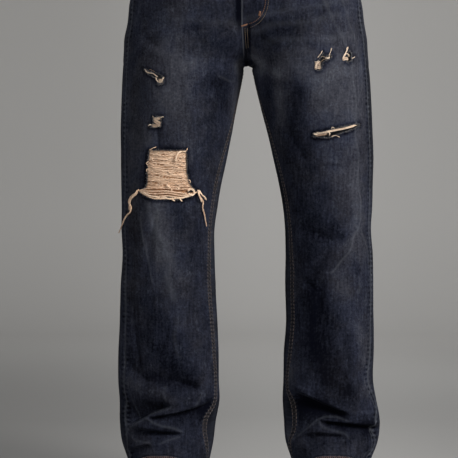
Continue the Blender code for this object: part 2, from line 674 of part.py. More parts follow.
def drawn_in(outline, distance):
    """The outline with every side moved in by a distance."""
    points = np.array(outline)
    sides = np.roll(points, -1, axis=0) - points
    sides = sides / np.linalg.norm(sides, axis=1, keepdims=True)
    normals = np.stack([-sides[:, 1], sides[:, 0]], axis=1)
    ahead = np.roll(points, -1, axis=0)
    clockwise = np.sum(points[:, 0] * ahead[:, 1] - ahead[:, 0] * points[:, 1]) < 0
    normals = -normals if clockwise else normals
    behind = np.roll(normals, 1, axis=0)
    spread = 1 + np.sum(normals * behind, axis=1, keepdims=True)
    return points + distance * (normals + behind) / np.maximum(spread, 0.6)


def rips():
    """The holes: the knee rip, the thigh slash and the four small ones."""
    trim("right_front", prism("cut_knee", "right", knee_outline(), 0))
    trim("left_front", prism("cut_slash", "left", slash_outline(), 0))
    for name, (leg, outline) in SMALL_RIPS.items():
        trim(f"{leg}_front", prism(f"cut_{name}", leg, outline, 0))


def rip_yarns(name, leg, outline):
    """The weft yarns left across a rip, as one thin panel just below the cloth's face."""
    around, height = front_cloth(leg)

    def points(out):
        return cloth_at(leg, around, height, out)

    cutter = prism(f"cut_{name}", leg, drawn_in(outline, YARN_INSET), 0)
    overlay(name, leg, points, -YARN_SUNK, YARN_PANEL, "ecru_yarn", cutter)


def smooth_route(points, step):
    """Points about a step apart on the smooth curve through a route's own points."""
    points = np.array(points)
    along = np.concatenate([[0], np.cumsum(np.linalg.norm(np.diff(points, axis=0), axis=1))])
    slopes = np.gradient(points, along, axis=0)
    at = np.linspace(0, along[-1], max(6, round(along[-1] / step)) + 1)
    i = np.clip(np.searchsorted(along, at) - 1, 0, len(along) - 2)
    span = (along[i + 1] - along[i])[:, None]
    u = ((at - along[i]) / span[:, 0])[:, None]
    start = (1 + 2 * u) * (1 - u) ** 2 * points[i] + u * (1 - u) ** 2 * span * slopes[i]
    end = u**2 * (3 - 2 * u) * points[i + 1] - u**2 * (1 - u) * span * slopes[i + 1]
    return start + end


def hanging_yarn(name, route, radius):
    """A bundle of yarn hanging from the knee rip, as a plain tube."""
    points = []
    for distance, ahead, height in route:
        around = front_angle("right", np.array(distance), np.array(height))
        x, y, z = skin("right", around, height)
        points.append((SIDES["right"] * distance, y - ahead, z))
    line = smooth_route(points, YARN_STEP)
    curve = bpy.data.curves.new(name, "CURVE")
    curve.dimensions = "3D"
    curve.bevel_depth = radius
    curve.bevel_resolution = 2
    curve.use_fill_caps = True
    spline = curve.splines.new("POLY")
    spline.points.add(len(line) - 1)
    for point, place in zip(spline.points, line):
        point.co = (*place, 1)
    curve.materials.append(material("ecru_yarn"))
    obj = bpy.data.objects.new(name, curve)
    bpy.context.scene.collection.objects.link(obj)


def main():
    for obj in list(bpy.data.objects):
        bpy.data.objects.remove(obj)
    for leg in SIDES:
        front_panel(leg)
        back_panel(leg)
        yoke(leg)
        pocket_facing(leg)
        back_pocket(leg)
        hem(leg)
    waistband()
    for number, degrees in enumerate(LOOP_ANGLES, start=1):
        belt_loop(number, degrees)
    fly()
    button()
    rips()
    rip_yarns("knee_yarns", "right", knee_outline())
    rip_yarns("slash_yarns", "left", slash_outline())
    hanging_yarn("outer_hanging_yarn", OUTER_YARN, OUTER_YARN_RADIUS)
    hanging_yarn("inner_hanging_yarn", INNER_YARN, INNER_YARN_RADIUS)


main()
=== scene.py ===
import math
from collections import namedtuple

import bmesh
import bpy
import numpy as np
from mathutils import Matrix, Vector


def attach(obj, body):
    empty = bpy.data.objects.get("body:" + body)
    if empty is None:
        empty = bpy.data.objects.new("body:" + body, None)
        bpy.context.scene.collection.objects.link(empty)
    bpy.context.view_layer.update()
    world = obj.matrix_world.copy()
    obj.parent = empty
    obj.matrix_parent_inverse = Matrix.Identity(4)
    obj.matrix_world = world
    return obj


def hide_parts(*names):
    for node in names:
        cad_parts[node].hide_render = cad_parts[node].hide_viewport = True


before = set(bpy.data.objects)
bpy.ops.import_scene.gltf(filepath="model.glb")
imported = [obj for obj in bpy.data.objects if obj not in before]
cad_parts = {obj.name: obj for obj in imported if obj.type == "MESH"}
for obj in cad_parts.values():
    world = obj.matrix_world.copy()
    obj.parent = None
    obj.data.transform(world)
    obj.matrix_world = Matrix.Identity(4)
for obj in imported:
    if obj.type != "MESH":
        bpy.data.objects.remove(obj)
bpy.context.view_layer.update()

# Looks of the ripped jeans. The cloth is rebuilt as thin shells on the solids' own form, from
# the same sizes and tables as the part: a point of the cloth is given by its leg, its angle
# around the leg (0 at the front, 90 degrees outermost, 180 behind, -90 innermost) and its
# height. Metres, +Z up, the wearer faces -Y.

# ---------------------------------------------------------------------------------------
# Sizes shared with the part
# ---------------------------------------------------------------------------------------
DENIM = 0.0015
GAP = 0.0003  # between two pieces at a seam
HALF_GAP_ANGLE = 0.0024  # half of it, in radians round a leg
BAND_HALF = 0.020  # half the waistband's height
BAND_CLOTH = 0.0026
BAND_PROUD = 0.001  # how far the waistband stands out from the panels' line
WAIST_TILT = 0.10  # how far the waistband rises for each metre towards the back
TILT_BOTTOM = -0.12  # the tilt fades out at this height
WAIST_RADIUS = 0.145
CROTCH = -0.232
HEM_LINE = -0.959  # the hem's upper edge at the sides of the leg
HEM_RISE = 0.014
HEM_ARCH = 0.006  # how far the hem drops beside the arch over the foot
ARCH_AT = {"right": 12.5, "left": 0.0}  # the arch's middle, in degrees round the leg
HEM_HEIGHT = 0.017
ROUNDNESS = 2.2  # a section's form: 2 is an ellipse, and more is squarer
SIDES = {"right": -1, "left": 1}


def in_mm(kind, *rows):
    """A table in metres, from rows in mm."""
    return [kind(*(size / 1000 for size in row)) for row in rows]


# Level sections of both legs: their edges' distances from the centre plane, their half-depths
# in front and behind, and how far back their middles are
Section = namedtuple(
    "Section", "height outer_right inner_right outer_left inner_left front back middle"
)
SECTIONS = in_mm(
    Section,
    (-1000, 207.5, 77, 216.5, 92.5, 88, 74, -6), (-961, 218.5, 68, 228.5, 82.5, 88, 71, -8),
    (-927, 229.5, 61, 241.5, 72, 84, 67, -10), (-890, 233.5, 56.5, 245.5, 69, 82, 65, -10),
    (-850, 234.5, 50, 238.5, 66, 80, 63, -10), (-819, 236.5, 51, 233, 67.5, 79, 62, -10),
    (-761, 236, 51.5, 234.5, 69, 78, 61, -10), (-705, 234, 53.5, 234, 72.5, 80, 62, -10),
    (-650, 232, 56.5, 233.5, 71.5, 84, 62, -12), (-576, 228.5, 59, 231.5, 71.5, 91, 62, -14),
    (-539, 230, 59, 229, 71, 95, 66, -14), (-492, 230.5, 53, 231, 66, 99, 72, -12),
    (-404, 231.5, 35.5, 233.5, 49, 106, 84, -8), (-313, 231.5, 18, 230.5, 26.5, 115, 104, -3),
    (-270, 229.5, 10, 228, 16.5, 119, 120, 0), (-248, 228.5, 6, 226.5, 11.5, 120.5, 130, 0),
    (-238, 228, 4, 225.5, 7, 121, 134, 0), (-232, 227.5, 0, 225.5, 0, 121.5, 136, 0),
    (-220, 227, -18.5, 224.5, -18.5, 122.5, 141, 0), (-205, 226.5, -45, 223.5, -45, 124, 146, 0),
    (-190, 226, -75, 222.5, -75, 125.5, 150, 0), (-160, 220.5, -124, 217.5, -124, 128, 154, 2),
    (-113, 215, -172, 211, -174, 130, 151, 4), (-65, 195, -182, 194, -182, 127, 139, 3),
    (-20, 171, -170, 171, -170, 123, 126, 1), (30, 164, -164, 164, -164, 120, 120, 0),
)

# Where the seams run, in degrees round the leg from its innermost and its outermost line
# towards the front, at heights in mm
Seam = namedtuple("Seam", "height inseam_right outseam_right inseam_left outseam_left")
SEAMS = [Seam(height / 1000, *angles) for height, *angles in (
    (-1000, 12, 20, 8, 26), (-957, 17, 26, 14, 31), (-927, 28, 32, 19, 24),
    (-903, 35, 34, 31, 33), (-880, 34, 30, 34, 30), (-855, 22, 30, 32, 17),
    (-825, 17, 31, 20, 30), (-760, 21, 33, 25, 29), (-640, 26, 30, 27, 25),
    (-540, 23, 26, 23, 25), (-440, 24, 27, 20, 27), (-320, 9, 27, 9, 27),
    (-232, 0, 25, 0, 25), (-110, 0, 18, 0, 18), (30, 0, 12, 0, 12),
)]

# The knee rip, row by row: from its edge nearer the outer seam to its edge nearer the inseam
Rip = namedtuple("Rip", "height outer inner")
KNEE_RIP = in_mm(
    Rip,
    (-396, 175, 109), (-403, 176.5, 108), (-428, 179, 108.5), (-452, 179.5, 104.5),
    (-462, 181.5, 98.5), (-469, 194.5, 90.5), (-476.5, 187, 98.5), (-483.5, 169, 121),
)
# The smaller rips, as outlines of (distance from the centre plane, height) going round
SMALL_RIPS = {
    "right": (
        ((0.184, -0.249), (0.178, -0.252), (0.166, -0.257), (0.150, -0.264), (0.149, -0.277),
         (0.159, -0.279), (0.163, -0.267), (0.178, -0.259)),
        ((0.169, -0.337), (0.154, -0.335), (0.154, -0.353), (0.173, -0.355), (0.168, -0.345)),
    ),
    "left": (
        ((0.127, -0.237), (0.135, -0.223), (0.137, -0.229), (0.151, -0.225), (0.150, -0.232),
         (0.135, -0.239), (0.132, -0.253), (0.125, -0.254)),
        ((0.177, -0.233), (0.182, -0.217), (0.186, -0.220), (0.187, -0.235), (0.178, -0.238)),
    ),
}
# The slash across the left thigh, point by point along its two lips
Slash = namedtuple("Slash", "across upper lower")
THIGH_SLASH = in_mm(
    Slash,
    (119, -365.5, -371.5), (132, -363, -373.5), (150, -359, -372.5), (172, -353.5, -364),
    (192, -349, -356.5), (202, -347.5, -350),
)

# Pockets are cut along outlines seen from a look, in degrees round the leg
POCKET_LOOK = 45
POCKET_MOUTH = 0.030
POCKET_REACH = 0.085
POCKET_DEPTH = 0.077
YOKE_AT_SIDE = -0.052
YOKE_AT_BACK = -0.088
FLY_WIDTH = 0.0415
FLY_BOTTOM = -0.181
FLY_CURVE_TOP = -0.129
BACK_POCKET_LOOK = 158
BACK_POCKET_TOP = -0.091
BACK_POCKET_SIDE = 0.112
BACK_POCKET_POINT = 0.020
BACK_POCKET_HALF = 0.068
BACK_POCKET_TAPER = 0.90
BACK_POCKET_MIDDLE = -0.036
LOOP_WIDTH = 0.012
LOOP_CLOTH = 0.0018
LoopPoint = namedtuple("LoopPoint", "height stand")
LOOP_PROFILE = in_mm(
    LoopPoint, (-28, 0.4), (-22.5, 1.4), (-14, 3), (4, 3.4), (15, 2.6), (19.8, 1.4),
)
LOOP_ANGLES = (-148, -88, -32, 32, 88, 148)
BUTTON_RADIUS = 0.0085

# The two bundles of yarn that hang from the knee rip's corners, from the cloth down, as
# (distance from the centre plane, how far in front of the cloth, height)
OUTER_YARN = ((0.1950, 0.0018, -0.4660), (0.2010, 0.0035, -0.4720), (0.2110, 0.0048, -0.4800),
              (0.2140, 0.0052, -0.4885), (0.2095, 0.0056, -0.4965), (0.2105, 0.0062, -0.5040),
              (0.2195, 0.0085, -0.5140), (0.2260, 0.0150, -0.5270), (0.2310, 0.0230, -0.5370),
              (0.2335, 0.0290, -0.5440))
INNER_YARN = ((0.0870, 0.0011, -0.4690), (0.0845, 0.0041, -0.4780), (0.0790, 0.0045, -0.4890),
              (0.0800, 0.0048, -0.4960), (0.0770, 0.0052, -0.5100), (0.0745, 0.0056, -0.5240),
              (0.0730, 0.0060, -0.5320))

# ---------------------------------------------------------------------------------------
# Creases
# ---------------------------------------------------------------------------------------
# Each is a line on the unrolled leg, from its soft start to its pointed end. Drop is how far
# the line's middle hangs below its straight run. Depth is how far the cloth goes in (out,
# where it is below zero). Above and below are how far that reaches. On a crisp side the cloth
# turns back sharply and stands out as a lip beyond the reach.
Crease = namedtuple("Crease", "around1 height1 around2 height2 drop depth above below crisp")


def creases(*rows):
    """Creases from rows in degrees and mm. A word at a row's end names its crisp side."""
    made = []
    for around1, height1, around2, height2, drop, depth, above, below, *crisp in rows:
        sizes = [size / 1000 for size in (drop, depth, above, below)]
        made.append(Crease(around1, height1 / 1000, around2, height2 / 1000, *sizes,
                           "".join(crisp)))
    return made


CREASES = {
    "right": creases(
        # the break over the foot
        (66, -768, 18, -815, 0, 5, 24, 16), (34, -788, -40, -826, 4, 12, 26, 15),
        (64, -897, -4, -857, 1, 15, 36, 7, "below"),
        (-62, -849, 21, -879, 3, 11, 6, 20, "above"),
        (58, -899, -18, -906, 1, 9, 7, 15, "above"),
        (68, -950, 17, -926, -2, 6.5, 6, 20, "above"), (74, -830, 50, -866, 0, 3, 12, 12),
        # behind the ankle
        (236, -840, 128, -866, 12, 8.5, 18, 7, "below"),
        (126, -898, 224, -914, 8, 8, 6, 16, "above"),
        (240, -878, 178, -892, 4, 6, 14, 6, "below"), (214, -940, 140, -932, 4, 5, 14, 8),
        # behind the knee
        (246, -560, 138, -604, 10, 7, 24, 11, "below"), (122, -640, 214, -668, 8, 5, 22, 16),
        (140, -520, 226, -546, 10, 4.5, 18, 12), (248, -600, 176, -632, 4, 5, 20, 10, "below"),
        # soft troughs of the thigh and shin
        (-58, -270, -14, -330, 0, 4.5, 22, 22), (-50, -330, -8, -366, 0, 2.5, 14, 14),
        (18, -336, 13, -394, 0, 3, 7, 9), (34, -700, 12, -500, 0, 5, 20, 20),
        (-36, -560, -16, -760, 0, 3, 16, 20), (48, -640, 30, -800, 0, 3, 16, 14),
        # back of the thigh and shin
        (150, -330, 164, -470, 0, 3.5, 22, 18), (212, -720, 196, -820, 0, 4, 18, 22),
        (150, -700, 160, -790, 0, 3, 14, 16),
        # under the seat, and from the crotch up the back
        (250, -292, 158, -268, 16, 6, 22, 26), (246, -322, 186, -318, 10, 4, 14, 16),
        # the crotch's corner, drawn out to the side
        (-50, -240, -124, -240, 0, 1.6, 5, 8),
        # a drag line at the hip
        (66, -170, 24, -214, 0, 2.5, 14, 16),
    ),
    "left": creases(
        # the break over the foot
        (-64, -833, 18, -875, -6, 14.5, 10, 28, "above"),
        (88, -903, -17, -883, 1, 12, 6, 18, "above"),
        (-44, -917, 9, -911, -6, 7, 6, 14, "above"), (30, -932, 68, -956, 0, 4.5, 10, 10),
        (-66, -812, -20, -838, 0, -3, 14, 12), (72, -862, 30, -872, 4, -4, 12, 12),
        # behind the ankle
        (126, -850, 234, -878, 12, 8.5, 20, 7, "below"),
        (238, -908, 134, -926, 8, 7.5, 6, 16, "above"),
        (122, -886, 182, -902, 3, 5.5, 14, 6, "below"), (140, -944, 220, -938, 3, 4.5, 12, 10),
        # behind the knee
        (124, -556, 232, -598, 10, 7, 24, 11, "below"), (242, -634, 150, -664, 8, 5, 22, 16),
        (244, -516, 160, -540, 8, 4.5, 18, 12), (126, -600, 190, -626, 4, 4.5, 18, 10, "below"),
        # soft troughs of the thigh and shin
        (-52, -300, -22, -420, 0, 4.5, 24, 24), (-8, -424, 22, -424, -1, 2.6, 4, 6, "above"),
        (-60, -520, 6, -560, 0, 6, 26, 18), (-66, -600, -16, -650, 0, 3.5, 22, 18),
        (-24, -800, -10, -620, 0, 5, 24, 24), (26, -700, 16, -822, 0, 3, 16, 12),
        # back of the thigh and shin
        (208, -340, 196, -480, 0, 3.5, 18, 22), (156, -710, 172, -822, 0, 4, 20, 18),
        # under the seat, and from the crotch up the back
        (250, -292, 158, -268, 16, 6, 22, 26), (246, -326, 180, -312, 10, 4, 14, 16),
        # the crotch's corner, drawn out to the side
        (-50, -237.2, -124, -237.2, 0, 5.8, 5, 6),
        # a drag line at the hip
        (60, -150, 22, -196, 0, 2.5, 14, 16),
    ),
}
UNROLL_RADIUS = 0.085  # turns an angle round the leg into a length
SOFT_START = 0.45  # share of a crease over which it starts
POINTED_END = 0.13  # share of a crease over which it ends
END_REACH = 0.35  # a crease's reach at its pointed end, as a share of its reach at its start
LIP = 0.28  # how far a crisp side's lip stands out, as a share of the depth
LIP_REACH = 2.6  # how far the lip runs out, in reaches
RIDGE_WIDTH = 1.6  # a worn line's ridge, in widths of its wear

# Thin worn lines along ridges of the cloth: half-width, how worn they are, how far they stand
# out, and points as (angle, height)
Line = namedtuple("Line", "width wear ridge points")


def worn_lines(*rows):
    """Lines from rows in mm, hundredths and mm, each with its route in degrees and mm."""
    return [Line(width / 1000, wear / 100, ridge / 1000,
                 [(around, height / 1000) for around, height in zip(route[::2], route[1::2])])
            for width, wear, ridge, *route in rows]


LINES = {
    "right": worn_lines(
        # shin and knee
        (1.6, 40, 0.6, 32, -517, 30, -539, 28, -559, 23, -594, 16, -633),
        (5, 30, 1.2, 22, -494, 15, -539, 3, -559, -2, -601, 0, -622, -6, -663),
        (3, 14, 0.6, -12, -690, -6, -730, -10, -766),
        (2.2, 16, 0.4, 62, -235, 55, -280, 58, -345),
        # the break over the foot
        (1.8, 28, 0.8, -2, -859, 12, -869, 20, -873, 22, -878, 35, -889, 49, -899, 58, -913),
        (2.2, 30, 0.8, 21, -879, 15, -887, 4, -893, -8, -897, -16, -903),
        (1.6, 24, 0.4, -41, -830, -36, -845, -30, -856),
        (2, 26, 0.6, 46, -914, 44, -920, 22, -923, 18, -926),
        (1.6, 30, 0.5, 7, -925, -2, -918, -14, -912),
        (1.4, 26, 0.3, 2, -822, 4, -836, 2, -848),
        (1.4, 20, 0.3, 50, -815, 44, -852, 36, -884),
        # thigh and knee
        (5.5, 14, 0.5, -10, -244, 8, -236, 26, -216),
        (1.8, 26, 0.4, -36, -262, -52, -270, -62, -268),
        (5, 10, 0.4, -20, -172, 4, -168, 34, -158),
        # behind
        (2.4, 26, 0.8, 236, -575, 196, -598, 150, -618),
        (2.2, 24, 0.6, 130, -545, 168, -572, 214, -590),
        (2.4, 20, 0.6, 226, -300, 196, -296, 166, -284),
        (2, 26, 0.6, 220, -860, 184, -884, 146, -882),
    ),
    "left": worn_lines(
        # thigh and knee
        (1.6, 42, 0.7, 39, -243, 38, -269, 40, -306, 38, -335, 35, -365, 38, -413, 36, -440,
         38, -469, 42, -486, 42, -521, 37, -538, 28, -555, 24, -575, 11, -594, 0, -616),
        (1.3, 30, 0.4, 54, -273, 47, -296, 41, -313),
        (1.3, 30, 0.4, 40, -316, 48, -336),
        (1.3, 24, 0.3, 40, -222, 52, -216),
        (1.8, 34, 0.7, 42, -536, 49, -556, 56, -575, 58, -608),
        (1.4, 34, 0.4, 37, -623, 36, -652),
        (1.4, 34, 0.6, 36, -362, 42, -352, 38, -345),
        (5, 16, 0.6, -20, -186, -2, -172, 18, -168, 44, -150),
        (5.5, 15, 0.6, -26, -206, -8, -199, 20, -200, 50, -186),
        (5, 14, 0.5, -16, -164, 10, -146, 30, -138, 56, -118),
        (2, 24, 0.4, 34, -120, 38, -180, 40, -243),
        (1.8, 22, 0.4, 50, -120, 52, -180, 54, -262),
        # the break over the foot
        (1.5, 25, 0.7, 15, -884, 2, -876, -8, -876, -18, -882, -27, -893, -38, -905, -52, -917,
         -66, -928),
        (2, 22, 0.7, -16, -886, -12, -895, 0, -901, 12, -907, 16, -915),
        (1.2, 50, 0.4, 48, -806, 50, -821, 59, -840, 64, -860, 67, -875, 56, -892, 52, -905,
         55, -921, 59, -938, 47, -949),
        # behind
        (2.4, 26, 0.8, 130, -572, 170, -592, 222, -612),
        (2.2, 24, 0.6, 236, -532, 198, -560, 150, -580),
        (2.4, 20, 0.6, 228, -304, 196, -298, 168, -284),
        (2, 26, 0.6, 142, -864, 178, -890, 218, -892),
    ),
}

# Broad patches of fade, where the cloth is lighter (above zero) or darker: partly the dye's own
# fading and partly painted light and shade
Wash = namedtuple("Wash", "around height half_around half_height strength")


def washes(*rows):
    """Washes from rows in degrees round the leg and mm along it: the middle, the half-widths
    and the strength in hundredths."""
    return [Wash(around, height / 1000, half_around, half_height / 1000, strength / 100)
            for around, height, half_around, half_height, strength in rows]


FADES_AND_PAINTED_LIGHT = {
    "right": washes(
        # thigh, knee and shin
        (-6, -250, 34, 90, 22), (22, -300, 12, 60, 6), (0, -530, 20, 60, 24),
        (22, -500, 14, 30, 8), (-4, -620, 20, 60, 12), (-34, -590, 14, 100, -10),
        (58, -720, 16, 120, -14), (50, -320, 20, 120, -3), (34, -440, 10, 70, -10),
        (-52, -150, 30, 70, -14), (4, -700, 18, 40, 5), (30, -845, 30, 12, 6),
        (-24, -845, 24, 16, 8),
        # darker towards the hems, the crotch and the fly
        (0, -820, 400, 130, -13), (-48, -300, 20, 100, -20), (-8, -160, 14, 45, -10),
        (30, -185, 14, 30, 7),
        # mottling, partly the dye's own and partly painted light and shade
        (-9, -203, 15, 22, -20), (-30, -268, 15, 20, -25), (8, -306, 8, 36, 7),
        (26, -373, 9, 26, 16), (45, -412, 15, 80, 7), (12, -517, 7, 28, 18),
        (11, -575, 8, 38, 14), (-14, -530, 9, 24, -24), (53, -666, 16, 170, 5),
        (9, -728, 17, 75, -9), (13, -179, 7, 12, -12), (2, -250, 8, 14, 11),
        (-6, -351, 8, 28, 9), (-74, -301, 12, 60, 16), (-60, -238, 9, 16, 12),
        (56, -336, 14, 30, 8), (40, -467, 10, 18, 14), (7, -391, 13, 6, -14),
        (73, -749, 13, 28, 12), (50, -815, 16, 18, 18), (18, -701, 11, 28, -13),
        (-4, -777, 13, 28, -13), (-24, -797, 9, 14, -10), (-58, -821, 15, 15, 10),
        (51, -900, 11, 10, 12), (2, -901, 15, 6, -14), (-4, -850, 4, 6, 10),
        # finer mottling, partly painted light and shade; the strong lighter patches on the inner
        # side by the crotch are painted light on cloth that turns away from the lamps
        (29, -177, 9, 10, 7), (16, -138, 6, 16, 6), (44, -394, 10, 80, 12),
        (23, -377, 8, 14, 14), (10, -512, 5, 24, 10), (20, -512, 5, 24, -6),
        (62, -400, 16, 220, 5), (0, -253, 8, 18, 8), (8, -297, 6, 16, 8), (-16, -404, 9, 20, 8),
        (9, -175, 6, 10, -9), (-12, -209, 7, 15, -8), (-30, -211, 7, 10, -10),
        (-33, -273, 10, 12, -10), (-43, -281, 7, 16, -6), (-63, -236, 11, 16, 36),
        (-84, -246, 16, 14, 40), (-72, -292, 12, 45, 24), (-11, -191, 4, 10, 7),
        (-29, -229, 7, 16, -7), (-63, -603, 18, 18, -7), (2, -801, 6, 8, 10),
        (-78, -832, 10, 18, 12), (-80, -759, 10, 16, 10), (60, -760, 14, 50, 5),
        (58, -650, 12, 60, 9), (62, -290, 12, 60, 9), (50, -400, 12, 80, 7),
        (48, -493, 10, 16, 14), (-15, -521, 8, 18, -6), (-31, -494, 5, 16, -10),
        (56, -644, 14, 18, 10), (57, -712, 14, 40, 7), (66, -749, 14, 24, 10),
        (64, -804, 18, 20, 13), (39, -815, 9, 12, 8), (7, -553, 7, 16, 9),
        (-2, -575, 7, 22, 10), (-24, -720, 13, 36, 6), (-45, -797, 13, 28, 6),
        (34, -597, 8, 28, -8), (12, -705, 10, 20, -10), (60, -745, 14, 50, 7),
        (14, -789, 12, 8, 10), (-36, -700, 8, 14, 9), (-30, -790, 14, 30, 4),
        (-34, -876, 9, 12, 10), (18, -683, 14, 30, -5), (-1, -774, 9, 26, -8),
        (-12, -796, 7, 18, -5), (16, -807, 10, 12, -12), (-55, -602, 12, 20, -9),
        (46, -902, 16, 12, 9), (-14, -192, 6, 10, 6), (-14, -216, 8, 14, -6),
        # painted shade down in the breaks' troughs
        (18, -854, 10, 9, -12), (-8, -875, 10, 10, -10), (-53, -872, 12, 22, -22),
        (6, -900, 20, 8, -14), (-3, -848, 7, 8, 10), (13, -853, 14, 12, -13),
        (12, -806, 16, 12, -11), (-22, -822, 14, 10, -11), (-56, -870, 22, 24, -24),
        (-20, -884, 16, 16, -8),
        # small patches, partly painted light and shade
        (7, -798, 12, 12, 18), (-42, -702, 8, 12, 10), (-76, -832, 13, 20, 13),
        (-80, -745, 10, 16, 14), (-22, -226, 8, 34, -7), (11, -179, 6, 10, -8),
        (-6, -494, 8, 15, -13), (2, -710, 7, 18, -12), (-8, -738, 5, 22, -10),
        (73, -219, 10, 12, 8), (35, -412, 5, 20, 8), (-17, -418, 4, 18, 14),
        (35, -413, 6, 26, 10), (-8, -386, 4, 6, 8), (-13, -816, 6, 8, 12), (2, -809, 5, 8, 8),
        (-32, -742, 8, 12, 9), (-50, -812, 10, 16, 10), (63, -816, 14, 12, 8),
        (53, -841, 6, 12, 12), (-9, -512, 6, 14, -9), (2, -191, 6, 9, -7),
        # painted shade at the side, behind the outseam, where the cloth turns away from the lamps
        (87, -360, 8, 230, -42), (92, -330, 8, 200, -16),
        # the seat, the back of the thigh and the calf
        (170, -190, 44, 60, 26), (180, -360, 34, 80, 22), (180, -540, 60, 500, 10),
        (176, -600, 30, 40, -8), (184, -740, 30, 80, 16),
    ),
    "left": washes(
        # thigh, knee and shin
        (12, -275, 34, 80, 30), (48, -300, 14, 200, 10), (-19, -306, 9, 38, -25),
        (22, -440, 20, 50, 6), (34, -560, 22, 80, 16), (-20, -610, 14, 80, -14),
        (-8, -730, 14, 70, -16), (34, -700, 18, 80, 5), (24, -845, 16, 30, 8),
        (0, -930, 30, 14, 6), (2, -160, 22, 40, -6),
        # darker towards the hems, the crotch and the fly; the lighter patches beside the crotch
        # are painted light on cloth that turns away from the lamps
        (0, -830, 400, 140, -14.5), (-12, -560, 38, 200, -11), (0, -190, 17, 36, -19),
        (-8, -150, 12, 45, -12), (-54, -283, 9, 18, -12), (-40, -312, 7, 44, 22),
        (-54, -234, 12, 18, 24),
        # mottling, partly the dye's own and partly painted light and shade
        (10, -165, 9, 13, -13), (-17, -195, 6, 13, -14), (-22, -248, 17, 12, 16),
        (4, -220, 5, 16, 10), (14, -262, 15, 12, 7), (-38, -371, 7, 18, -16),
        (-8, -373, 6, 7, -16), (14, -404, 18, 22, 10), (35, -485, 10, 34, 14),
        (13, -550, 8, 8, -22), (1, -533, 9, 9, -16), (-16, -520, 10, 9, -8),
        (17, -651, 11, 26, 14), (35, -615, 7, 15, -14), (8, -821, 9, 15, -14),
        (-36, -880, 14, 8, -12), (12, -458, 24, 70, 7), (-26, -708, 14, 75, -12),
        (-8, -801, 12, 28, -9), (20, -836, 12, 20, -20), (9, -638, 11, 36, 14),
        (36, -722, 10, 45, 18), (56, -796, 12, 50, 24), (-56, -798, 14, 30, 18),
        (-60, -904, 18, 22, 18),
        # finer mottling, partly painted light and shade; the strong lighter patches on the inner
        # side by the crotch are painted light on cloth that turns away from the lamps
        (-56, -232, 10, 20, 36), (-62, -256, 10, 16, 24), (-84, -246, 16, 14, 40),
        (-5, -174, 5, 9, -4), (13, -185, 5, 10, 6), (31, -141, 8, 20, -8), (-4, -160, 4, 7, 10),
        (12, -297, 6, 18, -6), (15, -551, 6, 10, -12), (33, -607, 8, 20, -7),
        (-11, -512, 6, 16, -5), (-13, -826, 8, 8, 10), (-67, -804, 16, 28, 10),
        (-39, -829, 7, 8, -8), (-58, -863, 10, 16, -12), (-38, -258, 9, 12, 26),
        (-48, -325, 8, 34, 24), (-18, -235, 12, 11, 10), (10, -195, 5, 12, 10),
        (-2, -227, 8, 12, 12), (11, -262, 14, 12, 8), (33, -291, 6, 28, 10),
        (7, -345, 9, 10, 10), (17, -386, 16, 18, 9), (32, -449, 12, 50, 8),
        (-18, -203, 6, 12, -16), (3, -175, 7, 10, -10), (-8, -205, 5, 10, -8),
        (-14, -292, 5, 18, -10), (-28, -345, 6, 34, -9), (-38, -403, 7, 18, -8),
        (-10, -422, 5, 28, -8), (-32, -499, 12, 20, -8), (-7, -158, 4, 10, -8),
        (-10, -126, 5, 12, 8), (2, -150, 6, 10, 12), (-56, -584, 9, 30, 7),
        (-6, -575, 7, 12, 9), (3, -620, 8, 26, 13), (22, -653, 9, 24, 8), (22, -729, 12, 28, 5),
        (-57, -794, 13, 40, 13), (42, -775, 8, 30, 13), (50, -841, 12, 16, 10),
        (86, -871, 10, 14, 8), (-76, -909, 14, 16, 12), (-40, -927, 13, 10, 8),
        (-32, -584, 8, 22, -9), (-22, -651, 8, 20, -16), (-23, -711, 10, 32, -16),
        (-20, -756, 10, 32, -12), (-4, -801, 8, 20, -10), (-20, -819, 9, 10, 22),
        (-36, -790, 12, 16, 8), (-12, -568, 9, 16, 10), (-14, -700, 6, 24, 8),
        (20, -866, 6, 8, 12), (30, -604, 9, 22, -7), (-8, -899, 10, 7, -10),
        (20, -832, 9, 18, -15),
        # painted shade down in the breaks' troughs
        (-12, -849, 18, 8, -18), (-39, -867, 24, 14, -16), (-7, -868, 14, 10, -10),
        (33, -887, 13, 6, -16), (12, -895, 10, 8, -15), (46, -911, 20, 8, -10),
        (-38, -858, 16, 13, -24), (-12, -860, 16, 12, -26), (9, -870, 10, 9, -18),
        (50, -893, 24, 10, -26),
        # small patches, partly painted light and shade
        (-59, -803, 16, 40, 13), (-33, -261, 9, 13, 14), (-40, -299, 7, 15, 16),
        (-60, -362, 7, 16, 12), (-39, -215, 6, 11, 14), (2, -885, 14, 8, -10),
        (11, -918, 14, 14, -8), (38, -892, 10, 10, -14), (61, -375, 6, 30, -10),
        (60, -260, 6, 50, -7), (0, -158, 7, 8, 13), (19, -183, 6, 12, 8), (6, -204, 12, 9, -8),
        (-79, -475, 8, 24, -20), (-80, -555, 8, 24, -24), (-13, -732, 6, 20, 10),
        (-36, -778, 6, 10, -8), (-42, -653, 7, 16, -7), (48, -772, 5, 16, 8),
        (-72, -914, 14, 12, 20), (55, -699, 6, 12, 12), (24, -338, 9, 8, 8),
        (49, -349, 5, 10, 12), (-48, -421, 8, 20, -9), (-35, -494, 7, 20, -7),
        (-14, -338, 9, 20, -7), (-27, -208, 6, 10, -7),
        # painted shade at the sides, behind the outseam and beside the inseam, where the cloth
        # turns away from the lamps
        (70, -245, 7, 60, -16), (66, -330, 6, 60, -18), (63, -420, 5, 70, -16),
        (84, -340, 16, 200, -34), (-78, -352, 10, 30, -14), (-80, -456, 9, 34, -24),
        (-94, -560, 10, 50, -30), (-93, -668, 10, 40, -18),
        # the seat, the back of the thigh and the calf
        (170, -190, 44, 60, 26), (184, -370, 34, 80, 22), (180, -540, 60, 500, 10),
        (182, -596, 30, 40, -8), (178, -750, 30, 80, 16),
    ),
}
BASE_FADE = 0.36
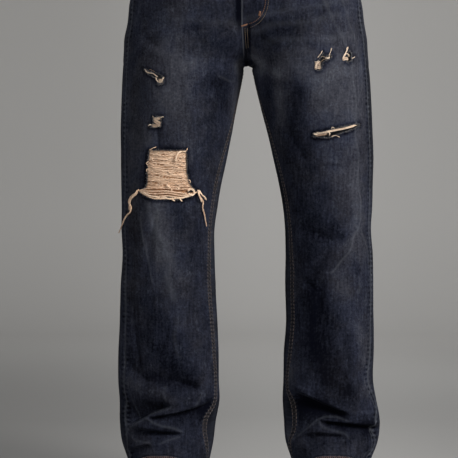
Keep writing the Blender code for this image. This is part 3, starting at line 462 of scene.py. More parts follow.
# Brown, worn-in dirt
STAINS = {
    "right": washes(
        (40, -300, 16, 80, 38), (42, -470, 12, 110, 38), (40, -600, 12, 60, 30),
        (8, -330, 16, 40, 22), (30, -840, 30, 40, 18), (200, -880, 26, 60, 24),
    ),
    "left": washes(
        (-30, -160, 16, 30, 30), (10, -800, 20, 60, 20), (150, -480, 20, 80, 20),
    ),
}


# ---------------------------------------------------------------------------------------
# The cloth's form
# ---------------------------------------------------------------------------------------
def ease(x):
    x = np.clip(x, 0, 1)
    return x * x * (3 - 2 * x)


def bell(x, width, power=2):
    """1 at zero, falling to 0 at some widths on both sides."""
    return np.exp(-((x / width) ** power))


def unit(vectors):
    return vectors / np.linalg.norm(vectors, axis=-1, keepdims=True)


def lengths_along(route):
    """The length of a route from its start to each of its points."""
    return np.concatenate([[0], np.cumsum(np.linalg.norm(np.diff(route, axis=0), axis=1))])


def between(values, slopes, i, u, step):
    """A smooth curve's values at the shares u of the steps that begin at the indices i."""
    start = (1 + 2 * u) * (1 - u) ** 2 * values[i] + u * (1 - u) ** 2 * step * slopes[i]
    end = u**2 * (3 - 2 * u) * values[i + 1] - u**2 * (1 - u) * step * slopes[i + 1]
    return start + end


def rounded(x):
    return np.sign(x) * np.abs(x) ** (2 / ROUNDNESS)


def heights_of(rows):
    return np.array([row.height for row in rows])


def read_table(rows, name, height):
    """The smooth curve through one column of a table, at these heights."""
    at = heights_of(rows)
    values = np.array([getattr(row, name) for row in rows], float)
    slopes = np.gradient(values, at)
    i = np.clip(np.searchsorted(at, height) - 1, 0, len(at) - 2)
    step = at[i + 1] - at[i]
    return between(values, slopes, i, np.clip((height - at[i]) / step, 0, 1), step)


def side_profile(distance, reach, crisp):
    """How much of a crease's depth is left at this distance to one side of its line."""
    if not crisp:
        return np.exp(-((distance / reach) ** 1.5))
    turn = 1 - (1 + LIP) * ease(distance / reach)
    run_out = 1 - ease((distance - reach) / (LIP_REACH * reach))
    return np.where(distance < reach, turn, -LIP * run_out)


def crease_depth(leg, around, height):
    """How far the creases and worn ridges move the cloth outwards."""
    around, height = np.broadcast_arrays(around, height)
    total = np.zeros(around.size)
    around, level = around.ravel(), height.ravel()
    for crease in CREASES[leg]:
        spread = LIP_REACH * 1.4 * max(crease.above, crease.below) + abs(crease.drop)
        low, high = sorted((crease.height1, crease.height2))
        near = np.nonzero((level > low - spread) & (level < high + spread))[0]
        middle = math.radians(crease.around1 + crease.around2) / 2
        along = (wrapped(around[near] - middle) + middle - math.radians(crease.around1))
        along = along * UNROLL_RADIUS
        up = level[near] - crease.height1
        run = math.radians(crease.around2 - crease.around1) * UNROLL_RADIUS
        rise = crease.height2 - crease.height1
        length = math.hypot(run, rise)
        share = (along * run + up * rise) / length**2
        upright = 1 if run >= 0 else -1
        off = upright * (up * run - along * rise) / length
        off = off + 4 * crease.drop * share * (1 - share)
        ends = ease(share / SOFT_START) * ease((1 - share) / POINTED_END)
        pointed = END_REACH + (1 - END_REACH) * (1 - ease(share))
        distance = np.abs(off)
        above = side_profile(distance, crease.above * pointed, crease.crisp == "above")
        below = side_profile(distance, crease.below * pointed, crease.crisp == "below")
        total[near] -= crease.depth * ends * np.where(off > 0, above, below)
    for line in LINES[leg]:
        total += line.ridge * nearness(line, RIDGE_WIDTH * line.width, around, level)
    return total.reshape(height.shape)


def wrapped(angle):
    """The same angle, from -180 to 180 degrees."""
    return (angle + math.pi) % (2 * math.pi) - math.pi


def nearness(line, width, around, height):
    """1 on a worn line, falling to 0 at some widths from it, at flat lists of places."""
    points = np.radians([point[0] for point in line.points]) * UNROLL_RADIUS
    levels = [point[1] for point in line.points]
    route = np.stack([points, levels], axis=1)
    spread = 3 * width
    near = np.nonzero((height > min(levels) - spread) & (height < max(levels) + spread))[0]
    middle = math.radians(np.mean([point[0] for point in line.points]))
    across = (wrapped(around[near] - middle) + middle) * UNROLL_RADIUS
    level = height[near]
    distance = np.full(len(near), 1.0)
    for start, end in zip(route[:-1], route[1:]):
        run, rise = end - start
        share = np.clip(((across - start[0]) * run + (level - start[1]) * rise)
                        / (run**2 + rise**2), 0, 1)
        distance = np.minimum(distance, np.hypot(across - start[0] - share * run,
                                                 level - start[1] - share * rise))
    total = np.zeros(height.size)
    total[near] = bell(distance, width)
    return total


def leg_frame(leg, height):
    """(centre, half-width, middle, front half-depth, back half-depth) of a leg's section."""
    outer = read_table(SECTIONS, "outer_" + leg, height)
    inner = read_table(SECTIONS, "inner_" + leg, height)
    middle = read_table(SECTIONS, "middle", height)
    front = read_table(SECTIONS, "front", height) + middle
    back = read_table(SECTIONS, "back", height) - middle
    return (outer + inner) / 2, (outer - inner) / 2, middle, front, back


def skin(leg, around, height, creased=True):
    """Points of the cloth's outer face."""
    around, height = np.broadcast_arrays(np.asarray(around, float), np.asarray(height, float))
    centre, half, middle, front, back = leg_frame(leg, height)
    sine, cosine = np.sin(around), np.cos(around)
    depth = np.where(cosine > 0, front, back)
    across, ahead = sine / half, cosine / depth
    size = np.hypot(across, ahead)
    fold = crease_depth(leg, around, height) if creased else 0.0
    x = centre + half * rounded(sine) + fold * across / size
    y = middle - depth * rounded(cosine) - fold * ahead / size
    z = height + WAIST_TILT * y * ease((height - TILT_BOTTOM) / -TILT_BOTTOM)
    return np.stack([SIDES[leg] * x, y, z], axis=-1)


def outward(leg, around, height):
    """Unit directions out of the cloth."""
    turn, climb = 0.016, 0.0014
    round_it = skin(leg, around + turn, height) - skin(leg, around - turn, height)
    up_it = skin(leg, around, height + climb) - skin(leg, around, height - climb)
    return unit(np.cross(round_it, up_it) * SIDES[leg])


def cloth_at(leg, around, height, out=0.0):
    """Points of the cloth's outer face, moved out."""
    out = np.asarray(out, float)[..., None]
    return skin(leg, around, height) + out * outward(leg, around, height)


def front_angle(leg, distance, height):
    """The angle on the front of a leg at this distance from the centre plane."""
    centre, half, *_ = leg_frame(leg, height)
    share = np.clip((distance - centre) / half, -1, 1)
    return np.arcsin(np.sign(share) * np.abs(share) ** (ROUNDNESS / 2))


def inner_angles(leg, height):
    """The angles of the seams that end the front and the back: the inseam, or the rise."""
    centre, half, *_ = leg_frame(leg, height)
    share = (centre - GAP / 2) / half
    rise = np.arcsin(np.sign(share) * np.clip(np.abs(share), 0, 1) ** (ROUNDNESS / 2))
    inseam = np.radians(read_table(SEAMS, "inseam_" + leg, height))
    below = share >= 1
    quarter = math.pi / 2
    front = np.where(below, inseam - quarter + HALF_GAP_ANGLE, -rise)
    back = np.where(below, 3 * quarter + inseam - HALF_GAP_ANGLE, math.pi + rise)
    return front, back


def outer_angle(leg, height):
    return np.radians(90 - read_table(SEAMS, "outseam_" + leg, height))


def front_grid(leg, share, height):
    first, _ = inner_angles(leg, height)
    last = outer_angle(leg, height) - HALF_GAP_ANGLE
    return first + (last - first) * share


def back_grid(leg, share, height):
    first = outer_angle(leg, height) + HALF_GAP_ANGLE
    _, last = inner_angles(leg, height)
    return first + (last - first) * share


GIRTH_HEIGHTS = np.linspace(-1.0, 0.03, 104)
GIRTH_ANGLES = np.radians(np.arange(-100, 285, 2.0))


def make_girths():
    """Lengths round each leg, for laying the cloth out flat."""
    angles, heights = np.meshgrid(GIRTH_ANGLES, GIRTH_HEIGHTS)
    tables = {}
    for leg in SIDES:
        points = skin(leg, angles, heights, creased=False)
        steps = np.linalg.norm(np.diff(points, axis=1), axis=2)
        table = np.concatenate([np.zeros((len(heights), 1)), np.cumsum(steps, axis=1)], axis=1)
        middle = np.argmin(np.abs(GIRTH_ANGLES))
        tables[leg] = table - table[:, middle : middle + 1]
    return tables


GIRTHS = make_girths()


def girth(leg, around, height):
    """The length along the cloth from the front's middle line to this angle."""
    row = (height - GIRTH_HEIGHTS[0]) / (GIRTH_HEIGHTS[1] - GIRTH_HEIGHTS[0])
    column = (around - GIRTH_ANGLES[0]) / (GIRTH_ANGLES[1] - GIRTH_ANGLES[0])
    row = np.clip(row, 0, len(GIRTH_HEIGHTS) - 1.001)
    column = np.clip(column, 0, len(GIRTH_ANGLES) - 1.001)
    j, k = row.astype(int), column.astype(int)
    v, u = row - j, column - k
    table = GIRTHS[leg]
    low = table[j, k] * (1 - u) + table[j, k + 1] * u
    high = table[j + 1, k] * (1 - u) + table[j + 1, k + 1] * u
    return low * (1 - v) + high * v


SCATTER = np.uint32(0x9E3779B1)  # an odd number that mixes the bits of a cell's place
SCATTER_SHIFT = np.uint32(15)


def lattice(cell, seed):
    """A random value from -1 to 1 for each cell."""
    value = np.full(cell.shape[:-1], seed + 1, np.uint32)
    for axis in range(cell.shape[-1]):
        value = (value ^ cell[..., axis].astype(np.uint32)) * SCATTER
        value = value ^ (value >> SCATTER_SHIFT)
    return value / 2.0**31 - 1


def noise(places, size, seed=0):
    """Smooth random values from -1 to 1, with features about this size."""
    places = np.asarray(places, float) / size
    cell = np.floor(places).astype(np.int64)
    part = ease(places - cell)
    total = np.zeros(places.shape[:-1])
    for corner in np.ndindex((2,) * places.shape[-1]):
        weight = np.prod(np.where(corner, part, 1 - part), axis=-1)
        total += weight * lattice(cell + np.array(corner), seed)
    return total


# ---------------------------------------------------------------------------------------
# Meshes
# ---------------------------------------------------------------------------------------
def grid_triangles(rows, columns, flipped=False):
    j, k = np.meshgrid(np.arange(rows - 1), np.arange(columns - 1), indexing="ij")
    a = (j * columns + k).ravel()
    b, d = a + 1, a + columns
    c = d + 1
    triangles = np.concatenate([np.stack([a, b, c], 1), np.stack([a, c, d], 1)])
    return triangles[:, ::-1] if flipped else triangles


def make_mesh(name, points, triangles, materials, values=None, cloth=None):
    """A mesh object. Values are numbers for each point, cloth is each point's place on the
    flat cloth."""
    mesh = bpy.data.meshes.new(name)
    points, triangles = np.asarray(points, float), np.asarray(triangles)
    mesh.vertices.add(len(points))
    mesh.vertices.foreach_set("co", points.ravel())
    mesh.loops.add(triangles.size)
    mesh.loops.foreach_set("vertex_index", triangles.ravel().astype(np.int32))
    mesh.polygons.add(len(triangles))
    mesh.polygons.foreach_set("loop_start", np.arange(0, triangles.size, 3, dtype=np.int32))
    mesh.update(calc_edges=True)
    for key, value in (values or {}).items():
        layer = mesh.attributes.new(key, "FLOAT", "POINT")
        layer.data.foreach_set("value", np.broadcast_to(value, len(points)).astype(np.float32))
    if cloth is not None:
        layer = mesh.uv_layers.new(name="cloth")
        layer.data.foreach_set("uv", np.asarray(cloth)[triangles.ravel()].ravel())
    for made in materials:
        mesh.materials.append(made)
    mesh.validate()
    mesh.shade_smooth()
    obj = bpy.data.objects.new(name, mesh)
    bpy.context.scene.collection.objects.link(obj)
    return obj


def thicken(obj, thickness, inside=0):
    solidify = obj.modifiers.new("cloth", "SOLIDIFY")
    solidify.thickness = thickness
    solidify.offset = -1
    solidify.material_offset = inside
    return obj


def outline_distance(places, outline):
    """How far places lie outside an outline, below zero inside it."""
    corners = np.array(outline)
    nearest = np.full(len(places), 1.0)
    inside = np.zeros(len(places), bool)
    for start, end in zip(corners, np.roll(corners, -1, axis=0)):
        along = end - start
        from_start = places - start
        share = np.clip(from_start @ along / (along @ along), 0, 1)
        apart = np.linalg.norm(from_start - share[:, None] * along, axis=1)
        nearest = np.minimum(nearest, apart)
        crosses = (start[1] > places[:, 1]) != (end[1] > places[:, 1])
        rise = np.where(along[1] == 0, 1, along[1])
        reach = start[0] + along[0] * (places[:, 1] - start[1]) / rise
        inside ^= crosses & (places[:, 0] < reach)
    return np.where(inside, -nearest, nearest)


def seen_from(points, leg, look):
    """Points as an outline sees them: (across, height) from a look round the leg."""
    angle = math.radians(look)
    across = points[:, 0] * SIDES[leg] * math.cos(angle) + points[:, 1] * math.sin(angle)
    return np.stack([across, points[:, 2]], axis=1)


def refine(places, triangles, near, passes):
    """Splits the edges near a cut, so that the cut runs finely."""
    mesh = bmesh.new()
    for place in places:
        mesh.verts.new((*place, 0))
    mesh.verts.ensure_lookup_table()
    for triangle in triangles:
        mesh.faces.new([mesh.verts[i] for i in triangle])
    for reach in passes:
        where = np.array([vert.co[:2] for vert in mesh.verts])
        close = near(where) < reach
        mesh.verts.index_update()
        edges = [edge for edge in mesh.edges if all(close[v.index] for v in edge.verts)]
        if edges:
            bmesh.ops.subdivide_edges(mesh, edges=edges, cuts=1, use_grid_fill=True)
    bmesh.ops.triangulate(mesh, faces=mesh.faces)
    mesh.verts.index_update()
    places = np.array([vert.co[:2] for vert in mesh.verts])
    triangles = np.array([[vert.index for vert in face.verts] for face in mesh.faces])
    mesh.free()
    return places, triangles


ON_THE_CUT = 1e-7  # nearer a cut than this, a point counts as kept
CUT_MARGIN = 0.03  # the share of an edge that a cut keeps clear at both ends


def clip(places, triangles, field):
    """The part of a sheet where the field is above zero, with new points on the cut edges."""
    field = np.where(np.abs(field) < ON_THE_CUT, ON_THE_CUT, field)
    inside = field > 0
    count = inside[triangles].sum(axis=1)
    kept = [triangles[count == 3]]
    added, made, pieces = {}, [], []

    def cut(a, b):
        key = (min(a, b), max(a, b))
        if key not in added:
            share = field[key[0]] / (field[key[0]] - field[key[1]])
            share = np.clip(share, CUT_MARGIN, 1 - CUT_MARGIN)
            added[key] = len(places) + len(made)
            made.append(places[key[0]] * (1 - share) + places[key[1]] * share)
        return added[key]

    for triangle in triangles[(count > 0) & (count < 3)]:
        loop = []
        for a, b in zip(triangle, np.roll(triangle, -1)):
            if inside[a]:
                loop.append(a)
            if inside[a] != inside[b]:
                loop.append(cut(a, b))
        pieces += [(loop[0], loop[i], loop[i + 1]) for i in range(1, len(loop) - 1)]
    if made:
        places = np.concatenate([places, np.array(made)])
        kept.append(np.array(pieces))
    triangles = np.concatenate(kept)
    used, triangles = np.unique(triangles, return_inverse=True)
    return places[used], triangles.reshape(-1, 3)


class Soup:
    """Many small shapes, gathered into one mesh."""

    def __init__(self):
        self.points, self.triangles, self.shades, self.count = [], [], [], 0

    def tubes(self, paths, radii, sides=6, shade=0.5):
        """Closed tubes along paths of equal length: paths is tubes x points x 3."""
        paths = np.asarray(paths, float)
        number, length = paths.shape[:2]
        radii = np.broadcast_to(np.asarray(radii, float), (number, length))
        ahead = np.gradient(paths, axis=1)
        ahead /= np.maximum(np.linalg.norm(ahead, axis=2, keepdims=True), 1e-9)
        guide = np.where(np.abs(ahead[:, :1, 1:2]) > 0.9, [[[0, 0, 1.0]]], [[[0, 1.0, 0]]])
        first = np.cross(ahead, guide)
        first /= np.maximum(np.linalg.norm(first, axis=2, keepdims=True), 1e-9)
        second = np.cross(ahead, first)
        turn = np.linspace(0, 2 * math.pi, sides, endpoint=False)
        cosine, sine = np.cos(turn)[:, None], np.sin(turn)[:, None]
        ring = first[:, :, None] * cosine + second[:, :, None] * sine
        points = paths[:, :, None] + ring * radii[:, :, None, None]
        i, j, k = np.meshgrid(np.arange(number), np.arange(length - 1), np.arange(sides),
                              indexing="ij")
        base = (i * length + j) * sides
        a, b = (base + k).ravel(), (base + (k + 1) % sides).ravel()
        d, c = a + sides, b + sides
        triangles = [np.stack([a, b, c], 1), np.stack([a, c, d], 1)]
        for end, order in ((0, 1), (length - 1, -1)):
            start = (np.arange(number) * length + end) * sides
            for k in range(1, sides - 1):
                cap = np.stack([start, start + k + 1, start + k], 1)
                triangles.append(cap[:, ::order])
        self.add(points.reshape(-1, 3), np.concatenate(triangles),
                 np.repeat(np.broadcast_to(shade, number), length * sides))

    def add(self, points, triangles, shades=0.5):
        self.points.append(points)
        self.triangles.append(triangles + self.count)
        self.shades.append(np.broadcast_to(shades, len(points)))
        self.count += len(points)

    def make(self, name, material):
        return make_mesh(
            name, np.concatenate(self.points), np.concatenate(self.triangles), [material],
            {"shade": np.concatenate(self.shades)},
        )


def smooth_route(points, step):
    """Points about a step apart on the smooth curve through a route's own points."""
    points = np.asarray(points, float)
    along = lengths_along(points)
    slopes = np.gradient(points, along, axis=0)
    at = np.linspace(0, along[-1], max(6, round(along[-1] / step)) + 1)
    i = np.clip(np.searchsorted(along, at) - 1, 0, len(along) - 2)
    step = (along[i + 1] - along[i])[:, None]
    return between(points, slopes, i, (at - along[i])[:, None] / step, step)


# ---------------------------------------------------------------------------------------
# Camera, floor and light
# ---------------------------------------------------------------------------------------
CAMERA_PLACE = (-0.0324, -3.4, -0.5369)
CAMERA_LENS = 144.5
FLOOR = -1.035
SWEEP_START = 5.2  # the floor turns up into the backdrop between these distances
SWEEP_END = 7.2
BACKDROP_TOP = 3.4
WORLD_COLOUR = (0.62, 0.63, 0.65, 1)
WORLD_STRENGTH = 0.16

Light = namedtuple("Light", "name place aim size energy colour")
LIGHTS = (
    Light("key", (2.7, -2.3, 1.5), (0.05, 0.0, -0.5), 1.7, 180, (1.0, 0.985, 0.96)),
    Light("fill", (-2.2, -3.0, 0.2), (0.0, 0.0, -0.5), 2.4, 25, (0.93, 0.96, 1.0)),
    Light("top", (0.0, 0.2, 2.4), (0.0, 0.0, -0.5), 1.8, 30, (1.0, 1.0, 1.0)),
    Light("rim", (1.6, 2.6, 0.9), (0.0, 0.0, -0.5), 1.4, 20, (1.0, 1.0, 1.0)),
    Light("backdrop_wash", (1.4, 3.6, 1.8), (0.6, 7.2, -0.4), 2.0, 45, (1.0, 0.99, 0.975)),
    Light("backdrop_fill", (-2.2, 3.4, 1.6), (-1.4, 7.2, 0.2), 2.0, 13, (1.0, 0.99, 0.975)),
)


def make_camera():
    data = bpy.data.cameras.new("camera")
    data.lens = CAMERA_LENS
    camera = bpy.data.objects.new("camera", data)
    bpy.context.scene.collection.objects.link(camera)
    camera.location = CAMERA_PLACE
    camera.rotation_euler = (math.pi / 2, 0, 0)
    bpy.context.scene.camera = camera


def make_stage():
    """A round floor that turns up into a backdrop."""
    profile = [(0.0005, FLOOR)] + [(r, FLOOR) for r in np.linspace(0.5, SWEEP_START, 6)]
    radius = SWEEP_END - SWEEP_START
    for turn in np.linspace(0, math.pi / 2, 13)[1:]:
        profile.append((SWEEP_START + radius * math.sin(turn),
                        FLOOR + radius * (1 - math.cos(turn))))
    profile.append((SWEEP_END, BACKDROP_TOP))
    around = np.linspace(0, 2 * math.pi, 97)
    out, up = np.array(profile).T
    points = np.stack([out[:, None] * np.cos(around), out[:, None] * np.sin(around),
                       np.repeat(up[:, None], len(around), 1)], axis=-1)
    stage = make_mesh("studio_sweep", points.reshape(-1, 3),
                      grid_triangles(len(profile), len(around), True), [stage_material()])


def make_lights():
    scene = bpy.context.scene
    for light in LIGHTS:
        data = bpy.data.lights.new(light.name, "AREA")
        data.shape = "SQUARE"
        data.size = light.size
        data.energy = light.energy
        data.color = light.colour
        lamp = bpy.data.objects.new(light.name, data)
        scene.collection.objects.link(lamp)
        lamp.location = light.place
        aim = np.array(light.aim) - np.array(light.place)
        lamp.rotation_euler = Vector(aim).to_track_quat("-Z", "Y").to_euler()
    world = bpy.data.worlds.new("studio")
    world.use_nodes = True
    background = world.node_tree.nodes["Background"].inputs
    background["Color"].default_value = WORLD_COLOUR
    background["Strength"].default_value = WORLD_STRENGTH
    scene.world = world
    scene.view_settings.view_transform = "Standard"


# ---------------------------------------------------------------------------------------
# Materials
# ---------------------------------------------------------------------------------------
class Graph:
    """A material's nodes."""

    def __init__(self, name):
        self.material = bpy.data.materials.new(name)
        self.material.use_nodes = True
        self.tree = self.material.node_tree
        self.shader = self.tree.nodes["Principled BSDF"]

    def node(self, kind, inputs=(), **settings):
        node = self.tree.nodes.new("ShaderNode" + kind)
        for key, value in settings.items():
            setattr(node, key, value)
        for key, value in dict(inputs).items():
            self.set(node.inputs[key], value)
        return node

    def set(self, socket, value):
        if isinstance(value, bpy.types.NodeSocket):
            self.tree.links.new(value, socket)
        else:
            socket.default_value = value

    def math(self, operation, a, b=0.0, clamp=False):
        return self.node("Math", {0: a, 1: b}, operation=operation, use_clamp=clamp).outputs[0]

    def value(self, name):
        return self.node("Attribute", attribute_name=name).outputs["Fac"]

    def noise(self, vector, size, detail=2.0, roughness=0.5):
        return self.node("TexNoise", {"Vector": vector, "Scale": 1 / size, "Detail": detail,
                                      "Roughness": roughness}).outputs["Fac"]

    def cloth(self, stretch=1.0, turn=0.0):
        """Places on the flat cloth, in metres, drawn out along the leg by a stretch."""
        flat = self.node("UVMap", uv_map="cloth").outputs["UV"]
        return self.node("Mapping", {"Vector": flat, "Scale": (1, 1 / stretch, 1),
                                     "Rotation": (0, 0, turn)}).outputs["Vector"]

    def ramp(self, value, stops):
        node = self.node("ValToRGB", {"Fac": value})
        elements = node.color_ramp.elements
        while len(elements) < len(stops):
            elements.new(0.5)
        for element, (place, colour) in zip(elements, stops):
            element.position = place
            element.color = (*colour, 1)
        return node.outputs["Color"]

    def mix(self, factor, a, b, blend="MIX"):
        node = self.node("Mix", data_type="RGBA", blend_type=blend)
        self.set(node.inputs[0], factor)
        self.set(node.inputs[6], a if isinstance(a, bpy.types.NodeSocket) else (*a, 1))
        self.set(node.inputs[7], b if isinstance(b, bpy.types.NodeSocket) else (*b, 1))
        return node.outputs[2]

    def finish(self, colour, roughness, bump=None, strength=0.4, distance=0.0003, **sockets):
        self.set(self.shader.inputs["Base Color"], colour)
        self.set(self.shader.inputs["Roughness"], roughness)
        for key, value in sockets.items():
            self.set(self.shader.inputs[key.replace("_", " ")], value)
        if bump is not None:
            relief = {"Height": bump, "Strength": strength, "Distance": distance}
            node = self.node("Bump", relief)
            self.set(self.shader.inputs["Normal"], node.outputs["Normal"])
        return self.material


def stage_material():
    graph = Graph("studio_grey")
    place = graph.node("TexCoord").outputs["Object"]
    colour = graph.noise(place, 2.5, 1.0)
    shade = graph.ramp(colour, ((0.3, (0.46, 0.455, 0.446)), (0.7, (0.49, 0.485, 0.475))))
    radius = graph.node("VectorMath", {0: graph.node("VectorMath", {0: place, 1: (1, 1, 0)},
                                                     operation="MULTIPLY").outputs[0]},
                        operation="LENGTH").outputs["Value"]
    # painted shade: the floor darker near the garment, lighter out towards the backdrop
    near = graph.node("MapRange", {0: radius, 1: 1.5, 2: 6.6, 3: 1.0, 4: 0.0}).outputs[0]
    shade = graph.mix(near, shade, (0.275, 0.272, 0.266))
    # painted light: a soft band of light across the floor and backdrop, a little right of the
    # garment, with the rest dimmed
    across = graph.node("SeparateXYZ", {0: place}).outputs[0]
    level, bright, reach = (
        graph.node("MapRange", {0: radius, 1: 1.0, 2: 5.0, 3: first, 4: last}).outputs[0]
        for first, last in ((0.80, 0.98), (0.45, 0.21), (0.45, 0.70))
    )
    off = graph.math("DIVIDE", graph.math("SUBTRACT", across, 0.15), reach)
    glow = graph.math("MULTIPLY", graph.math("MULTIPLY", off, off), -1.0)
    glow = graph.math("POWER", math.e, glow)
    level = graph.math("ADD", level, graph.math("MULTIPLY", bright, glow))
    shade = graph.mix(1.0, shade, level, "MULTIPLY")
    return graph.finish(shade, 0.9, Specular_IOR_Level=0.1)


RUNG = 0.0066  # spacing of the puckers between an inseam's rows, which are painted dark as shade
RUNG_TURN = math.radians(76)
TWILL = 0.0011  # spacing of the twill's ribs
TWILL_TURN = math.radians(62)
HAIRLINE = 0.022  # size of the loops of fine worn creases
BANDS = 20 / (2 * math.pi)  # the wave texture's bands for each unit of its scale
DENIM_STOPS = (
    (0.00, (0.0015, 0.0019, 0.0052)),
    (0.22, (0.0050, 0.0062, 0.0145)),
    (0.45, (0.0130, 0.0155, 0.0318)),
    (0.70, (0.0330, 0.0385, 0.0620)),
    (1.00, (0.0880, 0.0990, 0.1330)),
)
RUBBED_STOPS = (
    (0.00, (0.0021, 0.0022, 0.0042)),
    (0.22, (0.0068, 0.0069, 0.0120)),
    (0.45, (0.0172, 0.0172, 0.0262)),
    (0.70, (0.0405, 0.0415, 0.0560)),
    (1.00, (0.1030, 0.1060, 0.1230)),
)
INSIDE_STOPS = (
    (0.00, (0.060, 0.066, 0.085)),
    (0.50, (0.140, 0.148, 0.172)),
    (1.00, (0.260, 0.262, 0.275)),
)
DIRT = (0.0125, 0.0108, 0.0100)
WORN_THROUGH = (0.135, 0.145, 0.170)
HAIRLINES = (0.080, 0.090, 0.120)
LIT_RIBS = (0.105, 0.115, 0.135)
SEAM_BAND = (0.050, 0.043, 0.041)
# painted shade in the hollows of the inseam's puckers, drawn as rungs between its rows
PUCKER_SHADE = (0.0045, 0.0045, 0.0060)


def denim(name, stops=DENIM_STOPS, rubbed=RUBBED_STOPS):
    graph = Graph(name)
    flat = graph.cloth()
    drawn = graph.cloth(9.0)
    # the fade attribute carries the dye's fading together with painted light and shade from the
    # cloth's values
    fade = graph.value("fade")
    # mottling, from broad to fine
    for vector, size, detail, roughness, amount in (
        (flat, 0.040, 4.0, 0.68, 0.62), (drawn, 0.0042, 2.0, 0.6, 0.50),
        (flat, 0.0046, 3.0, 0.80, 0.95),
    ):
        spread = graph.math("MULTIPLY_ADD", graph.noise(vector, size, detail, roughness), amount)
        spread.node.inputs[2].default_value = -amount / 2
        fade = graph.math("ADD", fade, spread)
    colour = graph.ramp(fade, stops)
    if rubbed is not None:
        hue = graph.noise(graph.cloth(1.4, 0.4), 0.060, 4.0, 0.66)
        hue = graph.math("ADD", hue, graph.math("MULTIPLY", graph.value("fade"), 0.5))
        hue = graph.math("MULTIPLY", graph.math("SUBTRACT", hue, 0.58), 4.5, True)
        colour = graph.mix(hue, colour, graph.ramp(fade, rubbed))
    # dirt, worn ridges and fine worn hairlines
    dirt = graph.noise(flat, 0.012, 3.0, 0.6)
    dirt = graph.math("MULTIPLY", graph.value("stain"), graph.math("MULTIPLY", dirt, 1.7), True)
    colour = graph.mix(dirt, colour, DIRT)
    worn = graph.math("MULTIPLY", graph.value("worn"), graph.noise(drawn, 0.003, 3.0, 0.7))
    colour = graph.mix(graph.math("MULTIPLY", worn, 1.7, True), colour, WORN_THROUGH)
    rubbing = graph.math("ADD", fade, 0.06, True)
    for vector, size in ((graph.cloth(1.6), HAIRLINE), (graph.cloth(2.6, 0.5), HAIRLINE * 0.6)):
        line = graph.math("SUBTRACT", graph.noise(vector, size, 3.0, 0.55), 0.5)
        line = graph.math("MULTIPLY", graph.math("ABSOLUTE", line), 42)
        line = graph.math("SUBTRACT", 1.0, line, True)
        parts = graph.math("SUBTRACT", graph.noise(flat, 0.011, 2.0), 0.47, True)
        line = graph.math("MULTIPLY", line, graph.math("MULTIPLY", parts, 2.6))
        line = graph.math("MULTIPLY", line, rubbing, True)
        colour = graph.mix(line, colour, HAIRLINES)
    # the twill, and painted shade in the puckers between an inseam's rows (the dark rungs)
    ribs = graph.node("TexWave", {"Vector": graph.cloth(1.0, TWILL_TURN),
                                  "Scale": 1 / (TWILL * BANDS), "Distortion": 0.6,
                                  "Detail": 1.0, "Detail Scale": 2.0}).outputs["Fac"]
    lit = graph.math("MULTIPLY", ribs, graph.math("MULTIPLY", rubbing, 0.40))
    colour = graph.mix(lit, colour, LIT_RIBS)
    rungs = graph.node("TexWave", {"Vector": graph.cloth(1.0, RUNG_TURN),
                                   "Scale": 1 / (RUNG * BANDS), "Distortion": 4.0,
                                   "Detail": 1.0, "Detail Scale": 0.6}).outputs["Fac"]
    rungs = graph.math("MULTIPLY", graph.math("SUBTRACT", rungs, 0.50), 4.0, True)
    uneven = graph.math("MULTIPLY", graph.noise(flat, 0.009, 2.0, 0.6), 1.5, True)
    rungs = graph.math("MULTIPLY", graph.math("MULTIPLY", rungs, uneven), graph.value("rung"))
    band = graph.math("MULTIPLY", graph.math("MULTIPLY", uneven, 0.75), graph.value("rung"))
    colour = graph.mix(band, colour, SEAM_BAND)
    colour = graph.mix(rungs, colour, PUCKER_SHADE)
    slub = graph.noise(graph.cloth(6.0), 0.0009, 1.0)
    height = graph.math("MULTIPLY_ADD", slub, 0.7)
    graph.set(height.node.inputs[2], ribs)
    return graph.finish(colour, 0.86, height, 0.5, 0.00022, Specular_IOR_Level=0.04,
                        Sheen_Weight=0.03, Sheen_Roughness=0.45,
                        Sheen_Tint=(0.62, 0.68, 0.85, 1))


def thread(name, dark, light, roughness=0.7):
    graph = Graph(name)
    place = graph.node("TexCoord").outputs["Object"]
    mottle = graph.noise(place, 0.006, 2.0)
    shade = graph.math("ADD", graph.math("MULTIPLY", graph.value("shade"), 0.6),
                       graph.math("MULTIPLY", mottle, 0.5))
    colour = graph.ramp(shade, ((0.15, dark), (0.85, light)))
    return graph.finish(colour, roughness, graph.noise(place, 0.0005, 1.0), 0.5, 0.0002,
                        Specular_IOR_Level=0.3, Sheen_Weight=0.2)


def copper():
    graph = Graph("copper_worn")
    place = graph.node("TexCoord").outputs["Object"]
    patina = graph.noise(place, 0.0022, 4.0, 0.65)
    colour = graph.ramp(patina, ((0.35, (0.10, 0.055, 0.035)), (0.62, (0.42, 0.20, 0.11))))
    rough = graph.math("MULTIPLY_ADD", patina, -0.35)
    rough.node.inputs[2].default_value = 0.62
    return graph.finish(colour, rough, patina, 0.3, 0.0003, Metallic=1.0)


# ---------------------------------------------------------------------------------------
# Cloth values: fade, stain and wear
# ---------------------------------------------------------------------------------------
def wash_sum(table, leg, around, height):
    total = np.zeros(around.shape)
    for wash in table[leg]:
        turn = (np.degrees(around) - wash.around + 180) % 360 - 180
        total += wash.strength * np.exp(-((turn / wash.half_around) ** 2)
                                        - ((height - wash.height) / wash.half_height) ** 2)
    return total


# creases' troughs get darker as painted shade, and their raised ridges lighter as wear
RELIEF_WEAR_AND_SHADE = 12  # how much lighter the cloth is for each metre that a crease lifts it
LINE_WEAR = 0.6  # how strongly the worn lines show


